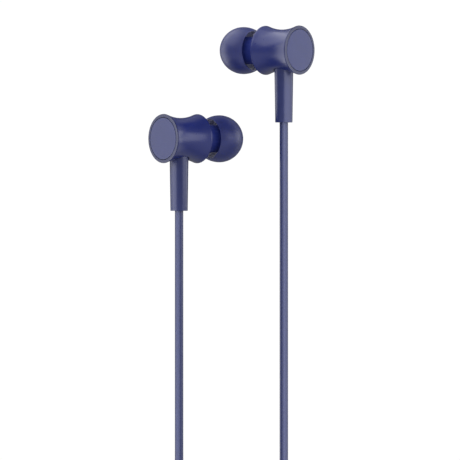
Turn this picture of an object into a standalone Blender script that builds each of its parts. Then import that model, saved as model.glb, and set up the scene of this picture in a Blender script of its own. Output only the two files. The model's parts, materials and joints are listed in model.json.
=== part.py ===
"""Neckband earphones.

Two spool-shaped in-ear buds hang their cords straight down to two pods, a control pod on the right and
a battery pod on the left, and a springy neckband loops from one pod to the other. The earphones are held
up by their ear tips, as they are when worn. Left is -X and right is +X.

Metres, +Z up. The origin is the centre of the right ear tip's mouth, and +Y points into the ears.
"""
import math

import bmesh
import bpy
from mathutils import Matrix, Vector

MM = 0.001
GAP = 0.3 * MM                      # clearance between pieces that touch or seat

# Where the buds hang
CORD_SPACING = 27.03 * MM           # between the two cords
LEFT_BUD_DROP = 22.81 * MM          # the left bud hangs this much lower than the right one
BUD_ANGLE = math.radians(52.0)      # between the bud's axis and +Y

# Bud housing, measured along its axis from the middle of the back rim towards the ear
RIM_RADIUS = 6.3 * MM
WAIST_RADIUS = 5.3 * MM
SPOOL_LENGTH = 10.95 * MM           # back rim to front rim
BACK_FACE = -0.25 * MM              # plane of the back cap and the bezel
SHOULDER_LENGTH = 1.0 * MM          # front rim to the shoulder's flat face
SHOULDER_RADIUS = 5.2 * MM
SHELL_WALL = 0.95 * MM              # at the waist
FRONT_WALL = 1.45 * MM              # between the driver's space and the shoulder's face
BEZEL_WIDTH = 0.8 * MM
CAP_THICKNESS = 0.7 * MM
CAP_GROOVE = 0.28 * MM
DOCK_MAGNET_THICKNESS = 1.1 * MM
NOZZLE_RADIUS = 2.4 * MM
NOZZLE_LIP = 0.12 * MM
NOZZLE_LENGTH = 4.95 * MM
NOZZLE_WALL = 0.7 * MM
MESH_SEAT_DEPTH = 0.7 * MM
MESH_SEAT_STEP = 0.3 * MM
MESH_THICKNESS = 0.25 * MM

# Ear tip
EARTIP_RADIUS = 6.0 * MM
EARTIP_FRONT = 6.1 * MM             # half-length of the dome's ellipse towards the ear
EARTIP_BACK = 6.6 * MM              # the same towards the housing
EARTIP_CENTRE_TO_MOUTH = 5.5 * MM
EARTIP_CENTRE_TO_SKIRT = 3.4 * MM
EARTIP_WALL = 0.45 * MM
EARTIP_MOUTH_RADIUS = 2.0 * MM
EARTIP_REACH = 11.75 * MM           # shoulder's face to the ear tip's mouth
SLEEVE_WALL = 0.7 * MM

# Driver
DRIVER_DEPTH = 2.0 * MM
DRIVER_PLATE = 0.4 * MM
DRIVER_FLANGE = 0.5 * MM
DRIVER_STEP = 0.7 * MM              # the flange stands this much outside the cup
CUP_WALL = 0.35 * MM
COIL_WALL = 0.2 * MM
DIAPHRAGM_THICKNESS = 0.12 * MM

# Cord stem and cord
STEM_TOP_RADIUS = 2.315 * MM
STEM_BOTTOM_RADIUS = 2.13 * MM
STEM_BOTTOM = 18.46 * MM            # below the bud's axis
STEM_CHAMFER = 0.12 * MM
CORD_RADIUS = 1.025 * MM
CORD_POCKET = 2.0 * MM              # the cord goes this far into a stem or a boot
LEAD_HOLE_RADIUS = 0.75 * MM
CORD_POINT_STEP = 5.2 * MM

# A cord's route from its top end down to its pod, as (outward, downward) in metres
CORD_ROUTE = [
    (0.0, 0.0), (0.0, 0.0125), (0.0, 0.025), (0.0, 0.0375), (0.0, 0.05), (0.0, 0.0625),
    (0.0, 0.075), (0.0, 0.0875), (0.0, 0.1), (0.0001, 0.1125), (0.0005, 0.125), (0.0015, 0.1374),
    (0.0031, 0.1498), (0.0054, 0.1621), (0.0086, 0.1742), (0.0127, 0.186), (0.0173, 0.1976),
]

# Pods
POD_LENGTH = 58.0 * MM
POD_WIDTH = 13.0 * MM
POD_DEPTH = 9.2 * MM
POD_ROUND = 2.6 * MM
POD_WALL = 1.2 * MM
POD_SPLIT = 2.0 * MM                # the back cover's depth
BOOT_FLANGE = 1.0 * MM              # thickness of the flange inside a pod
BOOT_FLANGE_CLEARANCE = 1.0 * MM    # from the flange to the casing's front and back
BOOT_FLANGE_STEP = 0.7 * MM         # the flange stands this much outside the neck
CORD_BOOT_LENGTH = 7.7 * MM
CORD_BOOT_RADIUS = 2.35 * MM
BAND_BOOT_LENGTH = 8.7 * MM
BAND_BOOT_RADIUS = 3.0 * MM
BOOT_TIP_WALL = 0.4 * MM
BAND_POCKET = 7.0 * MM

# Control pod's contents; heights along the pod are from its middle, up towards the cord
BOARD_THICKNESS = 0.8 * MM
BOARD_END_SPACE = 5.0 * MM          # from each end of the pod to the board
BOARD_BACK_CLEARANCE = 0.65 * MM
BUTTON_WIDTH = 5.4 * MM
BUTTON_LENGTHS = {"plus": 7.6 * MM, "play": 6.0 * MM, "minus": 7.6 * MM}
BUTTON_HEIGHTS = {"plus": 13.0 * MM, "play": 3.5 * MM, "minus": -6.0 * MM}
BUTTON_PROUD = 0.5 * MM
BUTTON_FLANGE = 0.6 * MM
BUTTON_STEM_RADIUS = 1.2 * MM
BUTTON_STROKE_GAP = 0.5 * MM
SWITCH_SIZE = 4.2 * MM
SWITCH_DEPTH = 1.1 * MM
SWITCH_PLUNGER = 0.5 * MM
SWITCH_PLUNGER_RADIUS = 1.0 * MM
LIGHT_BELOW_TOP = 8.5 * MM
LIGHT_RADIUS = 0.8 * MM
MICROPHONE_ABOVE_USB = 6.0 * MM
MICROPHONE_SIZE = (3.76 * MM, 1.1 * MM, 2.2 * MM)
MICROPHONE_HOLE_RADIUS = 0.45 * MM
RADIO_BELOW_TOP = 9.0 * MM
RADIO_SIZE = (7.0 * MM, 1.4 * MM, 7.0 * MM)

# Charging port (a standard USB-C receptacle) and its cover, on the control pod's outer side
USB_ABOVE_BOTTOM = 12.0 * MM
USB_WIDTH = 8.94 * MM
USB_THICKNESS = 3.26 * MM
USB_DEPTH = 7.1 * MM
USB_WALL = 0.32 * MM
USB_POCKET = 5.8 * MM
USB_TONGUE_WIDTH = 6.7 * MM
USB_TONGUE_THICKNESS = 0.7 * MM
USB_SETBACK = 1.0 * MM              # the port's mouth below the pod's side
COVER_LENGTH = 12.4 * MM
COVER_WIDTH = 5.0 * MM
COVER_THICKNESS = 0.8 * MM
COVER_RECESS = 0.7 * MM
COVER_PLUG_DEPTH = 1.5 * MM

# Battery pod's contents
CELL_TOP_SPACE = 12.0 * MM
CELL_BOTTOM_SPACE = 8.0 * MM
CELL_ROUND = 1.5 * MM
GUARD_SIZE = (8.0 * MM, 0.8 * MM, 5.0 * MM)
GUARD_BELOW_TOP = 7.5 * MM

# Neckband
BAND_RADIUS = 1.8 * MM
BAND_WALL = 0.9 * MM
WIRE_RADIUS = 0.5 * MM
WIRE_TAIL = 9.3 * MM                # the wire runs on past the sleeve, into each pod
LOOP_HALF_WIDTH = 63.0 * MM
LOOP_WIDEST_BELOW_PODS = 36.0 * MM  # below the lower pod's end of the sleeve
HANDLE_SHARE = 0.4                  # a handle's length over its segment's, on the straight flanks
CIRCLE_HANDLE = 0.5523              # a handle's length over the radius, for a quarter circle

# Facets round a turned piece
FINE_STEPS = 24
TIP_STEPS = 20
SMALL_STEPS = 14

# Places that follow from the sizes above
CAVITY_RADIUS = WAIST_RADIUS - SHELL_WALL
SHOULDER_FACE = SPOOL_LENGTH + SHOULDER_LENGTH
CAVITY_END = SHOULDER_FACE - FRONT_WALL
DRIVER_BACK = CAVITY_END - GAP - 2 * DIAPHRAGM_THICKNESS - GAP - DRIVER_DEPTH
STEM_AXIS = DRIVER_BACK - GAP - STEM_TOP_RADIUS
STEM_TOP = CAVITY_RADIUS - GAP
NOZZLE_BORE = NOZZLE_RADIUS - NOZZLE_WALL
NOZZLE_END = SHOULDER_FACE + NOZZLE_LENGTH
CAP_SEAT = BACK_FACE + CAP_THICKNESS + GAP
RECESS_RADIUS = RIM_RADIUS - BEZEL_WIDTH
BUD_LENGTH = SHOULDER_FACE + EARTIP_REACH
POCKET_RADIUS = CORD_RADIUS + 0.275 * MM
BAND_POCKET_RADIUS = BAND_RADIUS + GAP
BOOT_FLANGE_RADIUS = 0.5 * POD_DEPTH - POD_WALL - BOOT_FLANGE_CLEARANCE
BOOT_NECK_RADIUS = BOOT_FLANGE_RADIUS - BOOT_FLANGE_STEP
POD_TOP = 0.5 * POD_LENGTH
BOARD_LENGTH = POD_LENGTH - 2 * BOARD_END_SPACE
LIGHT_HEIGHT = POD_TOP - LIGHT_BELOW_TOP
RADIO_HEIGHT = POD_TOP - RADIO_BELOW_TOP
USB_HEIGHT = -POD_TOP + USB_ABOVE_BOTTOM
MICROPHONE_HEIGHT = USB_HEIGHT + MICROPHONE_ABOVE_USB
CELL_LENGTH = POD_LENGTH - CELL_TOP_SPACE - CELL_BOTTOM_SPACE
CELL_HEIGHT = 0.5 * (CELL_BOTTOM_SPACE - CELL_TOP_SPACE)
GUARD_HEIGHT = POD_TOP - GUARD_BELOW_TOP
WIRE_HOLE_RADIUS = WIRE_RADIUS + GAP

MODEL = bpy.data.collections.new("neckband_earphones")
GUIDES = bpy.data.collections.new("cutters")


def clear_scene():
    """Empty the scene and link the two collections."""
    for obj in list(bpy.data.objects):
        bpy.data.objects.remove(obj, do_unlink=True)
    bpy.context.scene.collection.children.link(MODEL)
    bpy.context.scene.collection.children.link(GUIDES)


def principled(name, colour, roughness, metallic=0.0):
    """A Principled material in one colour."""
    mat = bpy.data.materials.new(name)
    mat.use_nodes = True
    shader = mat.node_tree.nodes["Principled BSDF"]
    shader.inputs["Base Color"].default_value = (*colour, 1.0)
    shader.inputs["Roughness"].default_value = roughness
    shader.inputs["Metallic"].default_value = metallic
    mat.diffuse_color = (*colour, 1.0)
    return mat


MATERIALS = {
    "shell": principled("shell", (0.045, 0.055, 0.2), 0.35),
    "cap": principled("cap", (0.06, 0.07, 0.22), 0.4),
    "silicone": principled("silicone", (0.03, 0.038, 0.15), 0.45),
    "cord": principled("cord", (0.05, 0.06, 0.2), 0.5),
    "pod": principled("pod", (0.045, 0.055, 0.2), 0.4),
    "button": principled("button", (0.05, 0.06, 0.22), 0.5),
    "steel": principled("steel", (0.55, 0.55, 0.56), 0.3, 1.0),
    "magnet": principled("magnet", (0.5, 0.5, 0.5), 0.25, 1.0),
    "copper": principled("copper", (0.7, 0.32, 0.15), 0.35, 1.0),
    "film": principled("film", (0.6, 0.6, 0.55), 0.3),
    "board": principled("board", (0.02, 0.12, 0.06), 0.5),
    "switch": principled("switch", (0.03, 0.03, 0.03), 0.5),
    "lens": principled("lens", (0.8, 0.82, 0.85), 0.2),
    "cell": principled("cell", (0.5, 0.5, 0.52), 0.3),
}


def add_object(name, data, material=None, parent=None, location=(0, 0, 0), rotation=(0, 0, 0)):
    """Place an object; one with no material is a cutter or a union piece."""
    obj = bpy.data.objects.new(name, data)
    obj.parent = parent
    obj.location = location
    obj.rotation_euler = rotation
    if material is None:
        GUIDES.objects.link(obj)
        obj.hide_render = True
        obj.display_type = "WIRE"
    else:
        MODEL.objects.link(obj)
        data.materials.append(MATERIALS[material])
    return obj


def add_empty(name, location, rotation):
    """An empty that carries one bud or one pod."""
    empty = bpy.data.objects.new(name, None)
    empty.empty_display_size = 5 * MM
    empty.location = location
    empty.rotation_euler = rotation
    MODEL.objects.link(empty)
    return empty


def turned(name, outline, material, steps, closed=True, **place):
    """Turn an outline of (radius, height) about local Z, its outer side listed from the top down."""
    mesh = bpy.data.meshes.new(name)
    points = [(radius, 0.0, height) for radius, height in outline]
    edges = [(i, i + 1) for i in range(len(points) - 1)]
    if closed:
        edges.append((len(points) - 1, 0))
    mesh.from_pydata(points, edges, [])
    obj = add_object(name, mesh, material, **place)
    screw = obj.modifiers.new("Turn", "SCREW")
    screw.axis = "Z"
    screw.angle = math.tau
    screw.steps = steps
    screw.render_steps = steps
    screw.use_merge_vertices = True
    screw.merge_threshold = 0.00001
    screw.use_smooth_shade = True
    return obj


def disc(name, radius, bottom, top, material, steps=SMALL_STEPS, **place):
    """A plain round disc or pin about local Z."""
    outline = [(0.0, top), (radius, top), (radius, bottom), (0.0, bottom)]
    return turned(name, outline, material, steps, closed=False, **place)


def block(name, size, centre, material, rounding=0.0, segments=2, edges="all", **place):
    """A box of the given size about a centre, with all its edges rounded, or those along one axis."""
    mesh = bpy.data.meshes.new(name)
    form = bmesh.new()
    bmesh.ops.create_cube(form, size=1.0)
    bmesh.ops.scale(form, vec=size, verts=form.verts)
    if rounding:
        chosen = form.edges[:]
        if edges != "all":
            axis = "xyz".index(edges)
            chosen = [e for e in chosen if abs((e.verts[0].co - e.verts[1].co)[axis]) > 0.5 * size[axis]]
        bmesh.ops.bevel(form, geom=chosen, offset=rounding, segments=segments, profile=0.5,
                        affect="EDGES", clamp_overlap=True)
    bmesh.ops.translate(form, vec=centre, verts=form.verts)
    form.to_mesh(mesh)
    form.free()
    mesh.shade_smooth()
    mesh.set_sharp_from_angle(angle=math.radians(35))
    return add_object(name, mesh, material, **place)


def combine(obj, tool, operation):
    """Cut a tool out of an object, or join it on."""
    boolean = obj.modifiers.new(tool.name, "BOOLEAN")
    boolean.object = tool
    boolean.operation = operation
    boolean.solver = "EXACT"


def tube(name, points, radius, material, resolution, caps=True):
    """A round tube along world points."""
    curve = bpy.data.curves.new(name, "CURVE")
    curve.dimensions = "3D"
    curve.bevel_depth = radius
    curve.bevel_resolution = resolution
    curve.use_fill_caps = caps
    spline = curve.splines.new("POLY")
    spline.points.add(len(points) - 1)
    for target, point in zip(spline.points, points):
        target.co = (*point, 1.0)
    spline.use_smooth = True
    return add_object(name, curve, material)


def smooth_through(route, step):
    """Points about one step apart on a Catmull-Rom curve through a route."""
    knots = [2 * route[0] - route[1], *route, 2 * route[-1] - route[-2]]
    fine = []
    for a, b, c, d in zip(knots, knots[1:], knots[2:], knots[3:]):
        for k in range(8):
            t = k / 8
            fine.append(0.5 * (2 * b + (c - a) * t + (2 * a - 5 * b + 4 * c - d) * t ** 2
                               + (3 * b - a - 3 * c + d) * t ** 3))
    fine.append(route[-1])
    length = sum((q - p).length for p, q in zip(fine, fine[1:]))
    count = round(length / step)
    points = [fine[0]]
    walked = 0.0
    for p, q in zip(fine, fine[1:]):
        span = (q - p).length
        while len(points) < count and walked + span >= len(points) * length / count:
            points.append(p.lerp(q, (len(points) * length / count - walked) / span))
        walked += span
    points.append(fine[-1])
    return points


def spool_radius(height):
    """The housing's outer radius between its two rims: a parabola through the waist."""
    across = 2 * height / SPOOL_LENGTH - 1
    return WAIST_RADIUS + (RIM_RADIUS - WAIST_RADIUS) * across ** 2


def add_bud_shell(side, bud):
    """The housing: spool outside, driver's space inside, nozzle in front and a seat for the back cap."""
    lip = NOZZLE_RADIUS + NOZZLE_LIP
    outline = [
        (NOZZLE_RADIUS - 0.1 * MM, NOZZLE_END),
        (lip, NOZZLE_END - 0.25 * MM),
        (lip, NOZZLE_END - 0.7 * MM),
        (NOZZLE_RADIUS, NOZZLE_END - 0.9 * MM),
        (NOZZLE_RADIUS, SHOULDER_FACE),
        (SHOULDER_RADIUS - 0.3 * MM, SHOULDER_FACE),
    ]
    for k in range(5):
        turn = math.radians(90 - 22.5 * k)
        radius = SHOULDER_RADIUS + (RIM_RADIUS - SHOULDER_RADIUS) * math.cos(turn)
        outline.append((radius, SPOOL_LENGTH + (SHOULDER_LENGTH - 0.05 * MM) * math.sin(turn)))
    for k in range(8):
        height = SPOOL_LENGTH * (0.94 - 0.126 * k)
        outline.append((spool_radius(height), height))
    outline += [
        (RIM_RADIUS, 0.1 * MM),
        (RIM_RADIUS - 0.05 * MM, -0.07 * MM),
        (RIM_RADIUS - 0.2 * MM, BACK_FACE + 0.06 * MM),
        (RIM_RADIUS - 0.42 * MM, BACK_FACE),
        (RECESS_RADIUS, BACK_FACE),
        (RECESS_RADIUS, CAP_SEAT),
        (CAVITY_RADIUS, CAP_SEAT),
        (CAVITY_RADIUS, CAVITY_END),
        (NOZZLE_BORE, CAVITY_END),
        (NOZZLE_BORE, NOZZLE_END - MESH_SEAT_DEPTH),
        (NOZZLE_BORE + MESH_SEAT_STEP, NOZZLE_END - MESH_SEAT_DEPTH),
        (NOZZLE_BORE + MESH_SEAT_STEP, NOZZLE_END),
    ]
    shell = turned(f"bud_shell_{side}", outline, "shell", FINE_STEPS, parent=bud)
    hole = disc(f"cut_stem_hole_{side}", STEM_TOP_RADIUS + GAP, -RIM_RADIUS - 2 * MM, -STEM_TOP + 1 * MM,
                None, FINE_STEPS, parent=bud, location=(0, 0, STEM_AXIS), rotation=(-math.pi / 2, 0, 0))
    combine(shell, hole, "DIFFERENCE")


def add_back_cap(side, bud):
    """The plate in the bezel, and the disc magnet behind it."""
    radius = RECESS_RADIUS - CAP_GROOVE
    top = BACK_FACE + CAP_THICKNESS
    outline = [(0.0, top), (radius, top), (radius, BACK_FACE + 0.12 * MM),
               (radius - 0.12 * MM, BACK_FACE), (0.0, BACK_FACE)]
    turned(f"back_cap_{side}", outline, "cap", FINE_STEPS, closed=False, parent=bud)
    magnet_back = top + GAP
    disc(f"dock_magnet_{side}", CAVITY_RADIUS - 0.85 * MM, magnet_back, magnet_back + DOCK_MAGNET_THICKNESS,
         "magnet", parent=bud)


def add_driver(side, bud):
    """The moving-coil driver: a cup with a flange, a magnet, a coil round it and a domed diaphragm."""
    flange_radius = CAVITY_RADIUS - GAP
    cup_radius = flange_radius - DRIVER_STEP
    inner = cup_radius - CUP_WALL
    front = DRIVER_BACK + DRIVER_DEPTH
    frame = [(flange_radius, front), (flange_radius, front - DRIVER_FLANGE),
             (cup_radius, front - DRIVER_FLANGE), (cup_radius, DRIVER_BACK),
             (0.5 * MM, DRIVER_BACK), (0.5 * MM, DRIVER_BACK + DRIVER_PLATE),
             (inner, DRIVER_BACK + DRIVER_PLATE), (inner, front)]
    turned(f"driver_frame_{side}", frame, "steel", SMALL_STEPS, parent=bud)

    coil_outer = inner - GAP
    coil_inner = coil_outer - COIL_WALL
    floor = DRIVER_BACK + DRIVER_PLATE + GAP
    disc(f"driver_magnet_{side}", coil_inner - GAP, floor, front - 0.4 * MM, "magnet", parent=bud)
    coil = [(coil_outer, front), (coil_outer, floor + GAP), (coil_inner, floor + GAP), (coil_inner, front)]
    turned(f"voice_coil_{side}", coil, "copper", SMALL_STEPS, parent=bud)

    rim = flange_radius - GAP
    base = front + GAP
    shape = [(0.0, 1.0), (0.33, 0.75), (0.62, 0.0), (0.82, 0.6), (1.0, 0.0)]
    top = [(rim * r, base + DIAPHRAGM_THICKNESS * (1 + h)) for r, h in shape]
    bottom = [(rim * r, base + DIAPHRAGM_THICKNESS * h) for r, h in reversed(shape)]
    turned(f"diaphragm_{side}", top + bottom, "film", SMALL_STEPS, closed=False, parent=bud)


def add_nozzle_mesh(side, bud):
    """The wax guard in the nozzle's mouth."""
    seat = NOZZLE_END - MESH_SEAT_DEPTH + GAP
    disc(f"nozzle_mesh_{side}", NOZZLE_BORE + 0.05 * MM, seat, seat + MESH_THICKNESS, "steel", parent=bud)


def add_eartip(side, bud):
    """The ear tip: a dome and its open skirt, joined at the mouth to a sleeve over the nozzle."""
    centre = BUD_LENGTH - EARTIP_CENTRE_TO_MOUTH

    def dome(angle, inset):
        """A point of the dome's outer ellipse, or of the one inset from it."""
        reach = EARTIP_FRONT if angle > 0 else EARTIP_BACK
        return ((EARTIP_RADIUS - inset) * math.cos(angle), centre + (reach - inset) * math.sin(angle))

    mouth_angle = math.asin(EARTIP_CENTRE_TO_MOUTH / EARTIP_FRONT)
    skirt_angle = -math.asin(EARTIP_CENTRE_TO_SKIRT / EARTIP_BACK)
    inner_skirt_angle = -math.asin(EARTIP_CENTRE_TO_SKIRT / (EARTIP_BACK - EARTIP_WALL))
    bore = NOZZLE_RADIUS + GAP
    sleeve = bore + SLEEVE_WALL
    pocket_angle = math.radians(33)
    outline = [dome(mouth_angle + (skirt_angle - mouth_angle) * k / 9, 0) for k in range(10)]
    outline += [dome(inner_skirt_angle + (pocket_angle - inner_skirt_angle) * k / 4, EARTIP_WALL)
                for k in range(5)]
    pocket_radius, pocket_top = outline[-1]
    outline += [
        (0.5 * (pocket_radius + sleeve), pocket_top + 0.6 * MM),
        (sleeve, pocket_top),
        (sleeve, SHOULDER_FACE + GAP),
        (bore, SHOULDER_FACE + GAP),
        (bore, NOZZLE_END + GAP),
        (EARTIP_MOUTH_RADIUS, NOZZLE_END + GAP + 0.7 * MM),
        (EARTIP_MOUTH_RADIUS, BUD_LENGTH),
    ]
    turned(f"eartip_{side}", outline, "silicone", TIP_STEPS, parent=bud)


def add_stem(side, bud):
    """The tapered stem, its head in the housing's wall and a pocket for the cord in its lower end."""
    floor = -STEM_BOTTOM + CORD_POCKET
    outline = [
        (STEM_TOP_RADIUS - STEM_CHAMFER, -STEM_TOP),
        (STEM_TOP_RADIUS, -STEM_TOP - STEM_CHAMFER),
        (STEM_BOTTOM_RADIUS, -STEM_BOTTOM + STEM_CHAMFER),
        (STEM_BOTTOM_RADIUS - STEM_CHAMFER, -STEM_BOTTOM),
        (POCKET_RADIUS, -STEM_BOTTOM),
        (POCKET_RADIUS, floor),
        (LEAD_HOLE_RADIUS, floor),
        (LEAD_HOLE_RADIUS, -STEM_TOP),
    ]
    turned(f"stem_{side}", outline, "shell", TIP_STEPS, parent=bud, location=(0, 0, STEM_AXIS),
           rotation=(-math.pi / 2, 0, 0))


def add_bud(side, sign, mouth):
    """One bud, and the world place of its cord's top end. Its empty's Z axis points into the ear."""
    inward = Vector((-sign * math.sin(BUD_ANGLE), math.cos(BUD_ANGLE), 0.0))
    origin = mouth - inward * BUD_LENGTH
    bud = add_empty(f"bud_{side}", origin, (math.pi / 2, 0, -sign * (math.pi - BUD_ANGLE)))
    add_bud_shell(side, bud)
    add_back_cap(side, bud)
    add_driver(side, bud)
    add_nozzle_mesh(side, bud)
    add_eartip(side, bud)
    add_stem(side, bud)
    cord_top = -STEM_BOTTOM + CORD_POCKET - GAP
    return origin + inward * STEM_AXIS + Vector((0.0, 0.0, cord_top))


def add_cord(side, sign, top):
    """One cord on its route; returns its lower end and the direction it arrives in."""
    route = [top + Vector((sign * out, 0.0, -down)) for out, down in CORD_ROUTE]
    tube(f"cord_{side}", smooth_through(route, CORD_POINT_STEP), CORD_RADIUS, "cord", 2)
    return route[-1], (route[-1] - route[-2]).normalized()


def pod_half(name, split, keep, pod):
    """One half of a pod's casing: a rounded box, hollowed out and cut off at the split.

    keep is -1 for the half in front of the split, and 1 for the half behind it.
    """
    inner = [size - 2 * POD_WALL for size in (POD_WIDTH, POD_DEPTH, POD_LENGTH)]
    half = block(name, (POD_WIDTH, POD_DEPTH, POD_LENGTH), (0, 0, 0), "pod", rounding=POD_ROUND, segments=4,
                 parent=pod)
    hollow = block(f"cut_hollow_{name}", inner, (0, 0, 0), None, rounding=max(POD_ROUND - POD_WALL, GAP),
                   segments=3, parent=pod)
    far_side = block(f"cut_split_{name}", (2 * POD_WIDTH, 2 * POD_DEPTH, 2 * POD_LENGTH),
                     (0, split - keep * POD_DEPTH, 0), None, parent=pod)
    combine(half, hollow, "DIFFERENCE")
    combine(half, far_side, "DIFFERENCE")
    return half


def add_pod_casing(kind, side, pod):
    """A pod's shell and back cover, with the boots at its two ends."""
    split = 0.5 * POD_DEPTH - POD_SPLIT
    shell = pod_half(f"{kind}_pod_shell", split - 0.5 * GAP, -1, pod)
    pod_half(f"{kind}_pod_back", split + 0.5 * GAP, 1, pod)
    end = POD_TOP
    hole = BOOT_NECK_RADIUS + GAP
    for place, middle in (("top", end), ("bottom", -end)):
        cutter = disc(f"cut_{kind}_{place}", hole, middle - 2 * MM, middle + 2 * MM, None, parent=pod)
        combine(shell, cutter, "DIFFERENCE")

    inside = end - POD_WALL - GAP
    cord_floor = end + CORD_BOOT_LENGTH - CORD_POCKET
    cord_tip = end + CORD_BOOT_LENGTH
    cord_boot = [
        (POCKET_RADIUS + BOOT_TIP_WALL, cord_tip), (CORD_BOOT_RADIUS, end + GAP + 1.0 * MM),
        (CORD_BOOT_RADIUS, end + GAP), (BOOT_NECK_RADIUS, end + GAP), (BOOT_NECK_RADIUS, inside),
        (BOOT_FLANGE_RADIUS, inside), (BOOT_FLANGE_RADIUS, inside - BOOT_FLANGE),
        (LEAD_HOLE_RADIUS, inside - BOOT_FLANGE), (LEAD_HOLE_RADIUS, cord_floor),
        (POCKET_RADIUS, cord_floor), (POCKET_RADIUS, cord_tip),
    ]
    turned(f"cord_boot_{side}", cord_boot, "silicone", SMALL_STEPS, parent=pod)

    band_tip = -end - BAND_BOOT_LENGTH
    band_floor = band_tip + BAND_POCKET
    band_boot = [
        (BOOT_FLANGE_RADIUS, -inside + BOOT_FLANGE), (BOOT_FLANGE_RADIUS, -inside),
        (BOOT_NECK_RADIUS, -inside), (BOOT_NECK_RADIUS, -end - GAP), (BAND_BOOT_RADIUS, -end - GAP),
        (BAND_BOOT_RADIUS, -end - GAP - 1.0 * MM), (BAND_POCKET_RADIUS + BOOT_TIP_WALL, band_tip),
        (BAND_POCKET_RADIUS, band_tip), (BAND_POCKET_RADIUS, band_floor),
        (WIRE_HOLE_RADIUS, band_floor), (WIRE_HOLE_RADIUS, -inside + BOOT_FLANGE),
    ]
    turned(f"band_boot_{side}", band_boot, "silicone", SMALL_STEPS, parent=pod)
    return shell


def add_buttons(shell, pod, board_front):
    """Three buttons in the front wall, each with a flange inside it and a switch on the board behind."""
    front = -0.5 * POD_DEPTH
    flange_front = front + POD_WALL + GAP
    flange_back = flange_front + BUTTON_FLANGE
    switch_back = board_front - GAP
    switch_front = switch_back - SWITCH_DEPTH
    plunger_tip = switch_front - SWITCH_PLUNGER
    for name, length in BUTTON_LENGTHS.items():
        height = BUTTON_HEIGHTS[name]
        outer = front - BUTTON_PROUD
        cap = block(f"button_{name}", (BUTTON_WIDTH, flange_front - outer + 0.1 * MM, length),
                    (0, 0.5 * (outer + flange_front + 0.1 * MM), 0), "button", rounding=0.35 * MM,
                    parent=pod, location=(0, 0, height))
        flange = block(f"join_flange_{name}", (BUTTON_WIDTH + 4 * GAP, BUTTON_FLANGE, length + 4 * GAP),
                       (0, 0.5 * (flange_front + flange_back), 0), None, parent=pod, location=(0, 0, height))
        stem = disc(f"join_stem_{name}", BUTTON_STEM_RADIUS, flange_front + 0.1 * MM,
                    plunger_tip - BUTTON_STROKE_GAP, None, parent=pod, location=(0, 0, height),
                    rotation=(-math.pi / 2, 0, 0))
        combine(cap, flange, "UNION")
        combine(cap, stem, "UNION")
        hole = block(f"cut_button_{name}", (BUTTON_WIDTH + 2 * GAP, 4 * MM, length + 2 * GAP),
                     (0, front, 0), None, rounding=0.6 * MM, edges="y", parent=pod,
                     location=(0, 0, height))
        combine(shell, hole, "DIFFERENCE")
        switch = block(f"switch_{name}", (SWITCH_SIZE, SWITCH_DEPTH, SWITCH_SIZE),
                       (0, 0.5 * (switch_front + switch_back), 0), "switch", parent=pod,
                       location=(0, 0, height))
        plunger = disc(f"join_plunger_{name}", SWITCH_PLUNGER_RADIUS, plunger_tip,
                       switch_front + 0.3 * MM, None, parent=pod, location=(0, 0, height),
                       rotation=(-math.pi / 2, 0, 0))
        combine(switch, plunger, "UNION")


def add_board(pod):
    """The circuit board with its radio module and microphone; returns the board's front face."""
    board_back = 0.5 * POD_DEPTH - POD_WALL - BOARD_BACK_CLEARANCE
    board_front = board_back - BOARD_THICKNESS
    width = POD_WIDTH - 2 * POD_WALL - 4 * GAP
    block("circuit_board", (width, BOARD_THICKNESS, BOARD_LENGTH), (0, 0.5 * (board_back + board_front), 0),
          "board", rounding=0.8 * MM, edges="y", parent=pod)
    for name, size, height in (("radio_module", RADIO_SIZE, RADIO_HEIGHT),
                               ("microphone", MICROPHONE_SIZE, MICROPHONE_HEIGHT)):
        centre = (0, board_front - GAP - 0.5 * size[1], 0)
        block(name, size, centre, "steel", rounding=0.2 * MM, segments=1, parent=pod,
              location=(0, 0, height))
    return board_front


def add_light_and_microphone_hole(shell, pod):
    """The status light's clear pin in the front wall, and the microphone's hole."""
    front = -0.5 * POD_DEPTH
    inside = front + POD_WALL + GAP
    outward = (math.pi / 2, 0, 0)
    pin = [(0.0, -front + 0.05 * MM), (LIGHT_RADIUS, -front), (LIGHT_RADIUS, -inside),
           (LIGHT_RADIUS + 2 * GAP, -inside), (LIGHT_RADIUS + 2 * GAP, -inside - 0.7 * MM),
           (0.0, -inside - 0.7 * MM)]
    turned("light_pipe", pin, "lens", SMALL_STEPS, closed=False, parent=pod,
           location=(0, 0, LIGHT_HEIGHT), rotation=outward)
    for name, radius, height in (("light", LIGHT_RADIUS + GAP, LIGHT_HEIGHT),
                                 ("microphone", MICROPHONE_HOLE_RADIUS, MICROPHONE_HEIGHT)):
        hole = disc(f"cut_{name}", radius, -front - 2 * MM, -front + 2 * MM, None, parent=pod,
                    location=(0, 0, height), rotation=outward)
        combine(shell, hole, "DIFFERENCE")


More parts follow.
